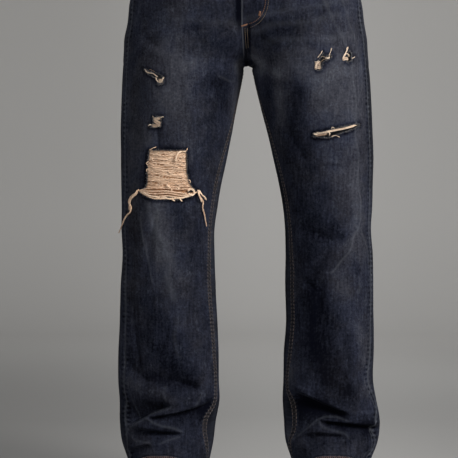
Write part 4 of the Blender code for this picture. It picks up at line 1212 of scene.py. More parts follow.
def cloth_values(leg, around, height, worn=0.0, fade=0.0, rung=0.0):
    """Fade with its painted light and shade, stain, wear and the seam puckers' painted shade at
    places on a leg.
    """
    spot = np.stack([girth(leg, around, height), height], -1)
    patches = 0.05 * noise(spot * (1, 0.6), 0.030, 11) + 0.03 * noise(spot, 0.012, 12)
    # lighter where a crease lifts the cloth and darker where it sinks: wear on the ridges,
    # painted shade in the troughs
    relief = RELIEF_WEAR_AND_SHADE * crease_depth(leg, around, height)
    total = BASE_FADE + wash_sum(FADES_AND_PAINTED_LIGHT, leg, around, height) + patches + relief + fade
    lined = sum(LINE_WEAR * line.wear * nearness(line, line.width, around.ravel(), height.ravel())
                for line in LINES[leg])
    worn = worn + lined.reshape(around.shape)
    return {
        "fade": np.clip(total, -0.3, 1),
        "stain": np.clip(wash_sum(STAINS, leg, around, height), 0, 1),
        "worn": np.clip(worn, 0, 1),
        "rung": np.clip(np.broadcast_to(rung, around.shape), 0, 1),
    }


STRAIGHT_GRAIN = 0.130  # distance from the centre plane where the front's grain hangs plumb
FLAT_LIFT = 1.1  # keeps heights on the flat cloth above zero


def cloth_places(leg, around, height, shift=0.0):
    """Places on the flat cloth, in metres. A shift keeps two pieces' weaves apart."""
    straight = girth(leg, front_angle(leg, STRAIGHT_GRAIN, height), height)
    across = girth(leg, around, height) - straight * (around < math.radians(120))
    return np.stack([across, height + FLAT_LIFT], axis=-1) + shift


# ---------------------------------------------------------------------------------------
# Panels
# ---------------------------------------------------------------------------------------
SHELL = 0.0012  # thickness of the shown cloth
FACING_SHELL = 0.0010
FLY_SHELL = 0.0009
HEM_SHELL = 0.0024
FACING_BOTTOM = -0.128
FACING_START = 0.52  # share of the front's width where the facing starts
POCKET_SHEET = (-0.228, -0.086)  # heights of the sheet that a back pocket is cut from
HEM_PUCKER = 0.0085  # spacing of the hem's roping
RISE_SHADE = 0.0060  # how far the painted shade in the valley beside the rise reaches
RISE_SHADE_TOP = -0.172
LAP_SHADE_AT = -0.0152  # middle of the shade beside the lap's free edge
LAP_SHADE = 0.0046  # its half-width
LAP_SHADE_FOOT = -0.180
INSEAM_BAND = 0.0140  # width of the felled seam beside the inseam
INSEAM_ROWS = (0.0022, 0.0108)  # its stitch rows, from the seam
PUCKER = 0.0088  # spacing of the puckers along a seam
OUTSEAM_BAND = 0.0065
FRONT_COLUMNS = np.concatenate(
    [np.linspace(0, 0.062, 11), np.linspace(0.074, 0.944, 75), np.linspace(0.955, 1, 8)]
)
BACK_COLUMNS = np.concatenate(
    [np.linspace(0, 0.040, 6), np.linspace(0.054, 0.944, 62), np.linspace(0.958, 1, 6)]
)
Band = namedtuple("Band", "bottom top step")
FRONT_ROWS = (
    Band(HEM_LINE, -0.932, 0.0022),
    Band(-0.932, -0.780, 0.0019),
    Band(-0.780, -0.500, 0.0027),
    Band(-0.500, -0.330, 0.0023),
    Band(-0.330, -BAND_HALF - GAP, 0.0025),
)
BACK_ROWS = (
    Band(HEM_LINE, -0.780, 0.0023),
    Band(-0.780, -0.250, 0.0032),
    Band(-0.250, -0.160, 0.0028),
    Band(-0.160, YOKE_AT_SIDE, 0.0030),
)
BACK_LEVEL = -0.160  # above this the back's rows turn towards the yoke seam


def row_heights(bands):
    rows = [np.linspace(band.bottom, band.top, round((band.top - band.bottom) / band.step) + 1)
            for band in bands]
    return np.concatenate([rows[0]] + [row[1:] for row in rows[1:]])


ARCH_HALF = 26  # half the width of the arch over the foot, in degrees
LEVEL_ABOVE = -0.925  # rows above this are level, and those below follow the hem
LOWEST_ROWS = -0.95  # rows below this leave the seam's gap above the hem


def hem_rise(leg, around):
    """How much higher the hem is than at the sides. The foot holds it up in front."""
    ahead = bell(np.degrees(wrapped(around)) - ARCH_AT[leg], ARCH_HALF, 4)
    return HEM_RISE * np.cos(around) - HEM_ARCH * (1 - ahead)


def hem_shift(leg, around, height):
    """How much a level row near the hem follows the hem's edge."""
    return hem_rise(leg, around) * ease((LEVEL_ABOVE - height) / (LEVEL_ABOVE - HEM_LINE))


def front_places(leg, places):
    """(around, height) of places given as (share of the width, level row)."""
    share, level = places.T
    height = level
    for _ in range(2):
        around = front_grid(leg, share, height)
        height = level + hem_shift(leg, around, level) + GAP * (level < LOWEST_ROWS)
    return around, height


def yoke_seam(share):
    """The height of the seam under the yoke."""
    return YOKE_AT_SIDE + (YOKE_AT_BACK - YOKE_AT_SIDE) * share


def back_places(leg, places):
    share, level = places.T
    top = yoke_seam(share) - GAP
    risen = BACK_LEVEL + (top - BACK_LEVEL) * (level - BACK_LEVEL) / (YOKE_AT_SIDE - BACK_LEVEL)
    rows = np.where(level > BACK_LEVEL, risen, level)
    height = rows
    for _ in range(2):
        around = back_grid(leg, share, height)
        height = rows + hem_shift(leg, around, rows) + GAP * (rows < LOWEST_ROWS)
    return around, height


def knee_outline():
    down = [(row.outer, row.height) for row in KNEE_RIP]
    return down + [(row.inner, row.height) for row in reversed(KNEE_RIP)]


def slash_outline():
    upper = [(row.across, row.upper) for row in THIGH_SLASH]
    return upper + [(row.across, row.lower) for row in reversed(THIGH_SLASH)]


def scoop_outline():
    outline = []
    for turn in np.linspace(0, math.pi / 2, 17):
        across = POCKET_MOUTH + POCKET_REACH * (1 - math.cos(turn))
        outline.append((across, -BAND_HALF - POCKET_DEPTH * math.sin(turn)))
    low = outline[-1][1]
    return outline + [(0.3, low), (0.3, 0.02), (POCKET_MOUTH, 0.02)]


def back_pocket_outline():
    low = BACK_POCKET_TOP - BACK_POCKET_SIDE
    narrow = BACK_POCKET_HALF * BACK_POCKET_TAPER
    corners = (
        (-BACK_POCKET_HALF, BACK_POCKET_TOP), (-narrow, low), (0, low - BACK_POCKET_POINT),
        (narrow, low), (BACK_POCKET_HALF, BACK_POCKET_TOP),
    )
    return [(BACK_POCKET_MIDDLE + across, height) for across, height in corners]


RIPS = {
    "right": [knee_outline(), *SMALL_RIPS["right"]],
    "left": [slash_outline(), *SMALL_RIPS["left"]],
}
RAGGED = ((0.0045, 0.0009), (0.0016, 0.0006))  # size and depth of the rips' ragged edges
FINE_CUTS = (0.005, 0.0025)  # how near a rip the cloth's edges are halved, pass by pass


def rip_distance(leg, points):
    """How far points are from the nearest rip's ragged edge."""
    seen = seen_from(points, leg, 0)
    nearest = np.min([outline_distance(seen, outline) for outline in RIPS[leg]], axis=0)
    for size, depth in RAGGED:
        nearest = nearest + depth * noise(seen, size, 31)
    return nearest


def pucker_wave(height, spacing, seed):
    """An uneven wave along a seam, from -1 to 1."""
    line = np.stack([height, np.full(height.shape, seed * 1.7)], axis=-1)
    phase = height / spacing + 0.35 * noise(line, 3 * spacing, seed)
    strength = 0.65 + 0.35 * noise(line, 2.2 * spacing, seed + 5)
    return strength * np.sin(2 * math.pi * phase)


def seam_relief(inner, outer, height, seed, felled):
    """(How far a panel stands out beside its seams, how worn it is there, how much painted shade
    it gets in the outseam's pucker hollows and beside the back's inseam, and how strong the
    inseam's puckers and their painted shade are.) Inner and outer are distances to the two seams."""
    # soft waves, and the outseam's raised band with its puckers and its groove
    out = 0.0005 * noise(np.stack([inner, height], -1), 0.045, seed)
    ropes = pucker_wave(height, PUCKER, seed + 1)
    edge = bell(outer, 0.0022)
    band = 1 - ease((outer - OUTSEAM_BAND + 0.0015) / 0.0035)
    out += 0.0003 * band + 0.0008 * ropes * bell(outer - 0.0040, 0.0040)
    out -= 0.0007 * bell(outer, 0.0012)
    worn = 0.42 * edge + 0.60 * np.clip(ropes, 0, 1) ** 3 * band
    puckers = pucker_wave(height + 0.003, RUNG, seed + 2)
    rung = 0.0
    if felled:
        # the inseam's felled band: raised, puckered between its rows, pressed in along them
        plateau = 1 - ease((inner - INSEAM_BAND + 0.001) / 0.003)
        out += 0.0007 * plateau
        below = ease((CROTCH - 0.004 - height) / 0.016)
        middle = bell(inner - np.mean(INSEAM_ROWS), 0.0042, 4) * below
        out += 0.0005 * puckers * middle
        # rung: how strongly the shader paints shade into the puckers between the rows
        rung = 0.85 * middle
        for row in INSEAM_ROWS:
            out -= 0.0004 * bell(inner - row, 0.0009)
        out -= 0.0006 * bell(inner, 0.0010)
        worn += 0.28 * np.clip(puckers, 0, 1) * plateau * below + 0.22 * bell(inner, 0.0016)
    else:
        out -= 0.0011 * bell(inner, 0.0022)
        out += 0.00035 * puckers * bell(inner - 0.004, 0.004)
        worn += 0.06 * bell(inner, 0.003)
    # painted shade in the hollows of the outseam's puckers, and on the back panel beside its
    # inseam
    dark = 0.80 * np.clip(-ropes, 0, 1) ** 2 * bell(outer - 0.0065, 0.0048)
    if not felled:
        dark = dark + 0.20 * bell(inner - 0.004, 0.004, 4)
    return out, worn, -dark, rung


def flat_grid(leg, rows, columns):
    """(share of the width, row) at the crossings of rows and columns, and the triangles."""
    row, column = np.meshgrid(rows, columns, indexing="ij")
    places = np.stack([column.ravel(), row.ravel()], axis=1)
    return places, grid_triangles(len(rows), len(columns), leg == "right")


def panel_widths(leg, around, height, grid):
    """Distances along the cloth to a panel's inner and outer edges."""
    first, last = grid(leg, 0, height), grid(leg, 1, height)
    here = girth(leg, around, height)
    return np.abs(here - girth(leg, first, height)), np.abs(girth(leg, last, height) - here)


def sew(name, leg, around, height, out, triangles, materials, shift, worn=0.0, fade=0.0,
        rung=0.0, places=None, thickness=SHELL, inside=1):
    """A piece of cloth that stands out from a leg's own face. A shift sets its weave apart."""
    around, height, out, worn, fade = (
        values.ravel() for values in np.broadcast_arrays(around, height, out, worn, fade)
    )
    if places is None:
        places = cloth_places(leg, around, height, shift)
    obj = make_mesh(name, cloth_at(leg, around, height, out), triangles, materials,
                    cloth_values(leg, around, height, worn, fade, rung), places)
    return thicken(obj, thickness, inside)


def front_panel(leg, materials, seed):
    places, triangles = flat_grid(leg, row_heights(FRONT_ROWS), FRONT_COLUMNS)

    def points_at(places):
        around, height = front_places(leg, places)
        return skin(leg, around, height, creased=False)

    def rips_at(places):
        return rip_distance(leg, points_at(places))

    places, triangles = cut_finely(places, triangles, rips_at, FINE_CUTS)
    scoop = scoop_outline()
    places, triangles = clip(
        places, triangles,
        outline_distance(seen_from(points_at(places), leg, POCKET_LOOK), scoop),
    )
    around, height = front_places(leg, places)
    inner, outer = panel_widths(leg, around, height, front_grid)
    points = points_at(places)
    out, worn, darker, rung = seam_relief(inner, outer, height, seed, felled=True)
    # torn edges stand up and are worn, with painted shade on the cloth just round them, and the
    # scoop's edge turns in
    torn = rip_distance(leg, points)
    out += 0.0010 * bell(torn, 0.0040)
    pocket = outline_distance(seen_from(points, leg, POCKET_LOOK), scoop)
    out -= 0.0007 * bell(pocket, 0.0011)
    worn += 0.35 * bell(pocket, 0.002) + 0.30 * bell(torn, 0.0011)
    dark = darker - 0.37 * bell(torn - 0.0022, 0.0036)
    # painted shade in the valley beside the rise, and painted shadow along the lap's free edge
    risen = ease((height - CROTCH - 0.001) / 0.003) * ease((RISE_SHADE_TOP - height) / 0.006)
    dark -= 0.42 * risen * (1 - ease((np.abs(points[:, 0]) - RISE_SHADE) / 0.002))
    if leg == "right":
        beside = bell(points[:, 0] - LAP_SHADE_AT, LAP_SHADE)
        dark -= 0.60 * beside * ease((height - LAP_SHADE_FOOT) / 0.016)
    return sew(f"{leg}_front_cloth", leg, around, height, out, triangles, materials, seed,
               worn, dark, rung)


def cut_finely(places, triangles, distance_at, passes):
    """Cuts a sheet where a distance is below zero, after splitting the sheet near the cut."""
    distance = distance_at(places)
    near = np.abs(distance)[triangles].min(axis=1) < 2 * passes[0]
    close, far = triangles[near], triangles[~near]
    used, close = np.unique(close, return_inverse=True)
    fine, fine_triangles = refine(places[used], close.reshape(-1, 3),
                                  lambda where: np.abs(distance_at(where)), passes)
    # the split patch keeps its rim, so its first points are the sheet's own
    order = np.concatenate([used, len(places) + np.arange(len(fine) - len(used))])
    places = np.concatenate([places, fine[len(used):]])
    triangles = np.concatenate([far, order[fine_triangles]])
    return clip(places, triangles, distance_at(places))


def back_panel(leg, materials, seed):
    places, triangles = flat_grid(leg, row_heights(BACK_ROWS), BACK_COLUMNS)
    around, height = back_places(leg, places)
    outer, inner = panel_widths(leg, around, height, back_grid)
    out, worn, dark, _ = seam_relief(inner, outer, height, seed, felled=False)
    out -= 0.0008 * bell(yoke_seam(places[:, 0]) - height, 0.002)
    return sew(f"{leg}_back_cloth", leg, around, height, out, triangles, materials, seed, worn,
               dark)


def yoke(leg, materials, seed):
    share = np.linspace(0, 1, 80)
    low = yoke_seam(share)
    height = low + (-BAND_HALF - GAP - low) * np.linspace(0, 1, 26)[:, None]
    around = back_grid(leg, share, height)
    ropes = pucker_wave(girth(leg, around, height), PUCKER, seed)
    below = height - low
    out = 0.0004 - 0.0005 * bell(below, 0.0009)
    out = out + 0.00025 * ropes * bell(below - 0.004, 0.004)
    worn = 0.30 * bell(below, 0.0016) + 0.12 * np.clip(ropes, 0, 1) * (below < 0.009)
    return sew(f"{leg}_yoke_cloth", leg, around, height, out,
               grid_triangles(*height.shape, leg == "right"), materials, seed, worn)


def pocket_facing(leg, materials, seed):
    places, triangles = flat_grid(leg, np.linspace(FACING_BOTTOM, -BAND_HALF - GAP, 40),
                                  np.linspace(FACING_START, 1, 46))
    share, height = places.T
    around = front_grid(leg, share, height)
    return sew(f"{leg}_facing_cloth", leg, around, height, -DENIM - GAP + 0.0002, triangles,
               materials, seed, fade=-0.08, thickness=FACING_SHELL)


def back_pocket(leg, materials, seed):
    places, triangles = flat_grid(leg, np.linspace(*POCKET_SHEET, 66),
                                  np.linspace(0.08, 0.999, 84))
    outline = back_pocket_outline()

    def inside_at(places):
        around = back_grid(leg, places[:, 0], places[:, 1])
        points = skin(leg, around, places[:, 1], creased=False)
        return -outline_distance(seen_from(points, leg, BACK_POCKET_LOOK), outline)

    places, triangles = clip(places, triangles, inside_at(places))
    around, height = back_grid(leg, places[:, 0], places[:, 1]), places[:, 1]
    edge = inside_at(places)
    ropes = pucker_wave(girth(leg, around, height) + height, PUCKER, seed)
    out = DENIM + GAP - 0.0010 * bell(edge, 0.0010)
    out += 0.0004 * noise(np.stack([girth(leg, around, height), height], -1), 0.04, seed)
    out += 0.0002 * ropes * bell(edge - 0.0045, 0.003)
    worn = 0.40 * bell(edge, 0.0016) + 0.14 * np.clip(ropes, 0, 1) * (edge < 0.008)
    return sew(f"{leg}_pocket_cloth", leg, around, height, out, triangles, materials, seed,
               worn, 0.03, inside=0)


def hem(leg, materials, seed):
    """The turned-up hem, with a rounded lower fold and a slight roping."""
    turns = np.linspace(-math.pi, math.pi, 241)[:-1]
    climbs = np.array([0, 0.03, 0.09, 0.18, 0.3, 0.44, 0.58, 0.72, 0.84, 0.93, 0.98, 1.0])
    around = np.broadcast_to(turns, (len(climbs), len(turns)))
    low = HEM_LINE - HEM_HEIGHT + hem_rise(leg, around)
    climb = climbs[:, None] * HEM_HEIGHT
    height = low + climb
    ropes = pucker_wave(girth_round(leg, around, height) + 0.5 * climb, HEM_PUCKER, seed)
    out = 0.0007 - 0.0011 * bell(climb, 0.0011)
    out = out - 0.0005 * bell(HEM_HEIGHT - climb, 0.0007)
    out = out + 0.0003 * ropes * bell(climb - 0.006, 0.006)
    worn = 0.50 * bell(climb, 0.0022) + 0.30 * np.clip(ropes, 0, 1)
    # the last column of triangles closes the ring on the first
    columns = len(turns)
    triangles = grid_triangles(len(climbs), columns + 1, leg == "right")
    row, column = np.divmod(triangles, columns + 1)
    triangles = row * columns + column % columns
    places = np.stack([girth_round(leg, around, height), height + FLAT_LIFT], -1) + seed
    return sew(f"{leg}_hem_cloth", leg, around, height, out, triangles, materials, seed, worn,
               -0.02, places=places.reshape(-1, 2), thickness=HEM_SHELL, inside=0)


def girth_round(leg, around, height):
    """Girth for angles given from -180 to 180 degrees."""
    around = np.where(around < GIRTH_ANGLES[0], around + 2 * math.pi, around)
    return girth(leg, around, height)


def waist_ring(turn, height, out):
    """Points round the waist. Turn is measured from the front towards the wearer's left."""
    turn, height = np.broadcast_arrays(np.asarray(turn, float), np.asarray(height, float))
    turn = np.mod(turn, 2 * math.pi)
    left = cloth_at("left", turn, height, out)
    right = cloth_at("right", 2 * math.pi - turn, height, out)
    return np.where((turn <= math.pi)[..., None], left, right)


BAND_STEP = 2 * math.pi / 38  # each end of the band laps the other by this angle


def band_lap(turn):
    """How far the band's buttoned end stands out, where it laps the other end."""
    return (BAND_CLOTH + GAP) * (1 - ease((turn - BAND_STEP) / (2 * BAND_STEP)))


def sew_round(name, turn, height, out, materials, shift, worn, thickness, lift=0.0):
    """A piece of cloth round the waist."""
    flat = np.stack([turn * WAIST_RADIUS, height], -1)
    fade = BASE_FADE + 0.02 + 0.06 * noise(flat, 0.02, 21) + lift
    values = {"fade": fade.ravel(), "stain": 0,
              "worn": np.broadcast_to(worn, fade.shape).ravel(), "rung": 0}
    obj = make_mesh(name, waist_ring(turn, height, out).reshape(-1, 3),
                    grid_triangles(*turn.shape), materials, values,
                    (flat + (0, shift)).reshape(-1, 2))
    return thicken(obj, thickness)


def waistband(materials):
    turns = np.linspace(-BAND_STEP, 2 * math.pi + BAND_STEP, 330)
    heights = BAND_HALF * np.sin(np.linspace(-math.pi / 2, math.pi / 2, 17))
    turn, height = np.meshgrid(turns, heights)
    edge = BAND_HALF - np.abs(height)
    ropes = pucker_wave(turn * WAIST_RADIUS, PUCKER, 41)
    out = BAND_PROUD + band_lap(turn) - 0.0008 * bell(edge, 0.0012)
    out += 0.0003 * ropes * bell(edge - 0.005, 0.004)
    worn = 0.45 * bell(edge, 0.0016) + 0.16 * np.clip(ropes, 0, 1)
    return sew_round("waistband_cloth", turn, height, out, materials, 3.3, worn,
                     BAND_CLOTH - 0.0002)


def belt_loop(number, degrees, materials):
    half = LOOP_WIDTH / 2 / WAIST_RADIUS
    across = np.linspace(-1, 1, 9)
    rows = heights_of(LOOP_PROFILE)
    at = np.linspace(rows[0], rows[-1], 26)
    stands = [point.stand for point in LOOP_PROFILE]
    turn, height = np.meshgrid(math.radians(degrees) + half * across, at)
    crown = 1 - 0.35 * np.abs(across) ** 4
    stand = np.interp(at, rows, stands)[:, None] + LOOP_CLOTH * crown
    worn = 0.45 * (np.abs(across) > 0.85) + 0.25 * (np.abs(np.abs(across) - 0.5) < 0.12)
    return sew_round(f"belt_loop_{number}_cloth", turn, height, stand, materials,
                     4 + number / 5, worn, LOOP_CLOTH * 0.8, 0.04)


def both_fronts(x, height, out):
    """Points of the two fronts near the centre, where they run into each other."""
    sides = []
    for leg in ("right", "left"):
        around = front_angle(leg, x * SIDES[leg], height)
        sides.append(cloth_at(leg, around, height, out))
    share = ease((x + 0.005) / 0.010)[..., None]
    return sides[0] * (1 - share) + sides[1] * share


# The lap's free edge, past the centre to the wearer's right, down to the crotch
LapPoint = namedtuple("LapPoint", "height across")
LAP_EDGE = (
    LapPoint(-0.2386, -0.0070),
    LapPoint(-0.2280, -0.0072),
    LapPoint(-0.1990, -0.0086),
    LapPoint(-0.172, -0.0105),
    LapPoint(-BAND_HALF - GAP, -0.0105),
)
LAP_SHARE = 0.9  # how far the lap's free edge stands out, as a share of the cloth
LAP_WIDTH = 0.009  # below the fly, from the centre to where the lap is flush


def lap_edge(height):
    return np.interp(height, heights_of(LAP_EDGE), [point.across for point in LAP_EDGE])


def fly_side(height):
    """Distance from the centre of the fly's curved side, which ends in a J at the bottom."""
    down = np.clip((FLY_CURVE_TOP - height) / (FLY_CURVE_TOP - FLY_BOTTOM), 0, 1)
    return np.maximum(FLY_WIDTH * np.sqrt(1 - down**2), LAP_WIDTH)


def fly(materials):
    """The lap over the front opening: a free edge on the wearer's right, flush elsewhere."""
    heights = np.linspace(LAP_EDGE[0].height, -BAND_HALF - GAP, 96)
    shares = np.concatenate([np.linspace(0, 0.16, 7), np.linspace(0.2, 1, 22)])
    height, share = np.meshgrid(heights, shares, indexing="ij")
    edge = lap_edge(height)
    x = edge + (fly_side(height) - edge) * share
    free = x - edge
    flush = 0.004 + 0.020 * ease((height - FLY_BOTTOM) / 0.03)
    level = DENIM * LAP_SHARE * (1 - ease((x + 0.002) / flush)) + 0.0001
    out = level - 0.0007 * bell(free, 0.0010) - 0.0010 * ease((share - 0.9) / 0.1)
    worn = bell(free, 0.0016) * ease((height + 0.236) / 0.040)
    around = front_angle("left", x, height)
    # painted shade on the lap's lower part, down in the valley at the crotch
    dark = -0.40 * ease((-0.176 - height) / 0.012) * ease((free - 0.0012) / 0.0020)
    values = cloth_values("left", around.ravel(), height.ravel(), worn.ravel(), dark.ravel())
    # the lap's foot, where the seams meet, hangs over the crotch and turns in
    held = np.maximum(height, CROTCH + 0.003)
    points = both_fronts(x, held, out)
    points += np.stack([0 * x, 0.7 * (held - height), height - held], axis=-1)
    obj = make_mesh(
        "fly_cloth", points.reshape(-1, 3), grid_triangles(*x.shape), materials, values,
        cloth_places("left", around, height, 0.37).reshape(-1, 2),
    )
    return thicken(obj, FLY_SHELL)


def button(material):
    """The waistband's shank button: a lathed dome with a rolled rim."""
    place = waist_ring(np.zeros(1), np.zeros(1), BAND_PROUD + BAND_CLOTH + 2 * GAP)[0]
    profile = [(0.0035, 0.0), (0.0035, 0.0013)]
    for turn in np.linspace(-math.pi / 2, math.pi, 9):
        profile.append((BUTTON_RADIUS - 0.0011 + 0.0010 * math.cos(turn),
                        0.0024 + 0.0009 * math.sin(turn)))
    profile += [(0.0060, 0.0026), (0.0052, 0.0029), (0.0040, 0.0033), (0.0022, 0.0036),
                (0.0004, 0.0037)]
    out, ahead = np.array(profile).T
    around = np.linspace(0, 2 * math.pi, 49)
    points = np.stack([out[:, None] * np.cos(around), np.repeat(-ahead[:, None], 49, 1),
                       out[:, None] * np.sin(around)], -1) + place
    return make_mesh("button_dome", points.reshape(-1, 3), grid_triangles(len(out), 49, True),
                     [material])


# ---------------------------------------------------------------------------------------
# Stitches
# ---------------------------------------------------------------------------------------
PITCH = 0.0036  # from stitch to stitch
STITCH = 0.0024
THREAD = 0.00042  # radius of the sewing thread
INSEAM_STITCH = 0.0044
INSEAM_THREAD = 0.00058
HEM_THREAD = 0.0006
FLY_THREAD = 0.00044
BAR_THREAD = 0.00036
BACK_ROW_HEIGHTS = np.linspace(-0.226, -0.092, 60)
J_ROWS = ((0.0325, 0.041), (0.0375, 0.0475))  # half-width and depth of the fly's curved rows
J_TOP = -0.130
HEM_ROWS = (0.0022, 0.0042)  # distances of double rows from their seams and edges
YOKE_ROWS = (0.0020, 0.0088)
SCOOP_ROWS = (0.0022, 0.0088)
POCKET_ROWS = (0.0022, 0.0085)
POCKET_HEM_ROWS = (0.0110, 0.0165)
RISE_ROWS = (0.0022, 0.0085)
BAND_ROW = 0.0025
BAR_STITCH = 0.00055  # spacing of the stitches in a bar tack
LOOK_STEPS = 180  # places tried round the leg to find what a look sees


def stitch_row(soup, points, normals, pitch=PITCH, length=STITCH, radius=THREAD, seed=0):
    """A row of stitches along a route on the cloth, each dipping into it at its ends."""
    along = lengths_along(points)
    at = np.arange(0.3 * pitch, along[-1] - pitch, pitch)
    random = np.random.default_rng(seed)
    at = at + random.uniform(-0.06, 0.06, len(at)) * pitch
    shares = np.array([0, 0.18, 0.5, 0.82, 1.0])
    where = at[:, None] + shares * length
    place = np.stack([np.interp(where, along, points[:, k]) for k in range(3)], -1)
    normal = np.stack([np.interp(where, along, normals[:, k]) for k in range(3)], -1)
    rise = np.array([-0.7, 0.45, 0.75, 0.45, -0.7]) * radius
    paths = place + normal * rise[:, None]
    soup.tubes(paths, radius * np.array([0.5, 0.95, 1.05, 0.95, 0.5]), 5,
               random.uniform(0.2, 1.0, len(at)))


def on_cloth(leg, around, height, out):
    return cloth_at(leg, around, height, out), outward(leg, around, height)


def angle_beside(leg, around, height, distance):
    """The angle at this distance along the cloth from another, outwards where positive."""
    slope = (girth(leg, around + 0.03, height) - girth(leg, around - 0.03, height)) / 0.06
    return around + distance / slope


def angle_seen(leg, look, across, height, span):
    """The angle of the point that a look sees at this distance across."""
    angles = np.radians(np.linspace(*span, LOOK_STEPS))
    found = []
    for u, z in zip(across, height):
        points = skin(leg, angles, np.full(LOOK_STEPS, z), creased=False)
        seen = seen_from(points, leg, look)[:, 0]
        order = np.argsort(seen)
        found.append(np.interp(u, seen[order], angles[order]))
    return np.array(found)


def untilted(y, z):
    """The height on the garment of a point at this depth and level."""
    height = z
    for _ in range(3):
        height = z - WAIST_TILT * y * ease((height - TILT_BOTTOM) / -TILT_BOTTOM)
    return height


def places_seen(leg, look, across, level, span):
    """(around, height) of points that a look sees at these distances across and levels."""
    height = level
    for _ in range(2):
        around = angle_seen(leg, look, across, height, span)
        height = untilted(skin(leg, around, height, creased=False)[:, 1], level)
    return around, height


def offset_outline(corners, inset):
    """An open outline moved to its inner side."""
    corners = np.array(corners)
    sides = np.diff(corners, axis=0)
    normals = unit(np.stack([-sides[:, 1], sides[:, 0]], 1))
    moved = [corners[0] + inset * normals[0]]
    for i in range(1, len(corners) - 1):
        spread = 1 + normals[i - 1] @ normals[i]
        moved.append(corners[i] + inset * (normals[i - 1] + normals[i]) / spread)
    moved.append(corners[-1] + inset * normals[-1])
    dense = []
    for start, end in zip(moved[:-1], moved[1:]):
        share = np.linspace(0, 1, 30, endpoint=False)[:, None]
        dense.append(start * (1 - share) + end * share)
    return np.concatenate(dense + [np.array(moved[-1:])])


def seam_stitches(brown, tan, red):
    """Rows along the inseams, rise, yokes, back pockets, scoops and hems."""
    for leg in SIDES:
        height = np.linspace(-0.945, CROTCH - 0.012, 700)
        edge = front_grid(leg, 0, height)
        for number, row in enumerate(INSEAM_ROWS):
            around = angle_beside(leg, edge, height, row)
            stitch_row(brown, *on_cloth(leg, around, height, 0.0005), pitch=RUNG,
                       length=INSEAM_STITCH, radius=INSEAM_THREAD, seed=number + 3)
        hems = np.linspace(-math.pi + 0.02, math.pi - 0.02, 500)
        for row in HEM_ROWS:
            height = HEM_LINE + hem_rise(leg, hems) - row
            stitch_row(red, *on_cloth(leg, hems, height, 0.0009), radius=HEM_THREAD,
                       seed=7)
        share = np.linspace(0.004, 0.996, 200)
        for row in YOKE_ROWS:
            height = yoke_seam(share) + row
            around = back_grid(leg, share, height)
            stitch_row(tan, *on_cloth(leg, around, height, 0.0006), seed=9)
        scoop_stitches(leg, tan)
        pocket_stitches(leg, tan)
    for row in RISE_ROWS:
        height = BACK_ROW_HEIGHTS
        around = math.pi - front_angle("left", np.full_like(height, row), height)
        stitch_row(tan, *on_cloth("left", around, height, 0.0004), seed=11)


def scoop_stitches(leg, tan):
    turn = np.linspace(0.10, math.pi / 2 - 0.05, 60)
    span = (-60, 110)
    for row in SCOOP_ROWS:
        across = POCKET_MOUTH + POCKET_REACH - (POCKET_REACH + row) * np.cos(turn)
        level = -BAND_HALF - (POCKET_DEPTH + row) * np.sin(turn)
        _, height = places_seen(leg, POCKET_LOOK, across, level, span)
        around = angle_seen(leg, POCKET_LOOK, across, height, span)
        inside = around < outer_angle(leg, height) - 0.02
        stitch_row(tan, *on_cloth(leg, around[inside], height[inside], 0.0004), seed=13)


def pocket_stitches(leg, tan):
    outline = back_pocket_outline()
    rows = [offset_outline(outline, row) for row in POCKET_ROWS]
    for drop in POCKET_HEM_ROWS:
        top = BACK_POCKET_TOP - drop
        ends = np.linspace(-BACK_POCKET_HALF + 0.003, BACK_POCKET_HALF - 0.003, 60)
        rows.append(np.stack([BACK_POCKET_MIDDLE + ends, np.full(60, top)], 1))
    for route in rows:
        around, height = places_seen(leg, BACK_POCKET_LOOK, *route.T, (95, 268))
        stitch_row(tan, *on_cloth(leg, around, height, DENIM + GAP + 0.0003), seed=15)


def waist_stitches(tan):
    turn = np.linspace(0.02, 2 * math.pi + BAND_STEP - 0.02, 1400)
    for level in (-BAND_HALF + BAND_ROW, BAND_HALF - BAND_ROW):
        points = waist_ring(turn, level, BAND_PROUD + band_lap(turn) + 0.0004)
        stitch_row(tan, points, unit(points - waist_ring(turn, level, 0.0)), seed=17)


def on_lap(x, height, out):
    """Points of the two fronts near the centre, and their directions out of the cloth."""
    points = both_fronts(x, height, out)
    return points, unit(both_fronts(x, height, out + 0.001) - points)


def fly_stitches(orange, tan):
    for number, (half, depth) in enumerate(J_ROWS):
        turn = np.linspace(0.02, 1.52, 60)
        x = np.concatenate([np.full(60, half), half * np.cos(turn)])
        height = np.concatenate([np.linspace(-BAND_HALF - 0.004, J_TOP, 60),
                                 J_TOP - depth * np.sin(turn)])
        stitch_row((orange, tan)[number], *on_lap(x, height, 0.0005),
                   radius=FLY_THREAD, seed=number)
    for row in (-0.0045, 0.0005):
        height = np.linspace(-0.177, -0.211, 40)
        x = np.full_like(height, row) + 0.003 * ease((-0.18 - height) / 0.04)
        stitch_row(tan, *on_lap(x, height, DENIM + 0.0006), seed=5)


def bartack(soup, points_at, start, end, width, out):
    """A dense bar of short stitches from a start to an end, each across the bar."""
    start, end = np.array(start), np.array(end)
    along = end - start
    number = max(4, round(float(np.linalg.norm(along)) / BAR_STITCH))
    across = np.array([-along[1], along[0]]) / np.linalg.norm(along) * width / 2
    share = np.linspace(0, 1, number)[:, None]
    middle = start + along * share
    ends = np.linspace(-1, 1, 5)
    places = middle[:, None] + across * ends[:, None]
    rise = out + 0.0004 * (1 - ends**4)
    paths = points_at(places[..., 0], places[..., 1], np.broadcast_to(rise, places.shape[:2]))
    shades = np.random.default_rng(4).uniform(0.3, 1.0, number)
    soup.tubes(paths, BAR_THREAD, 5, shades)


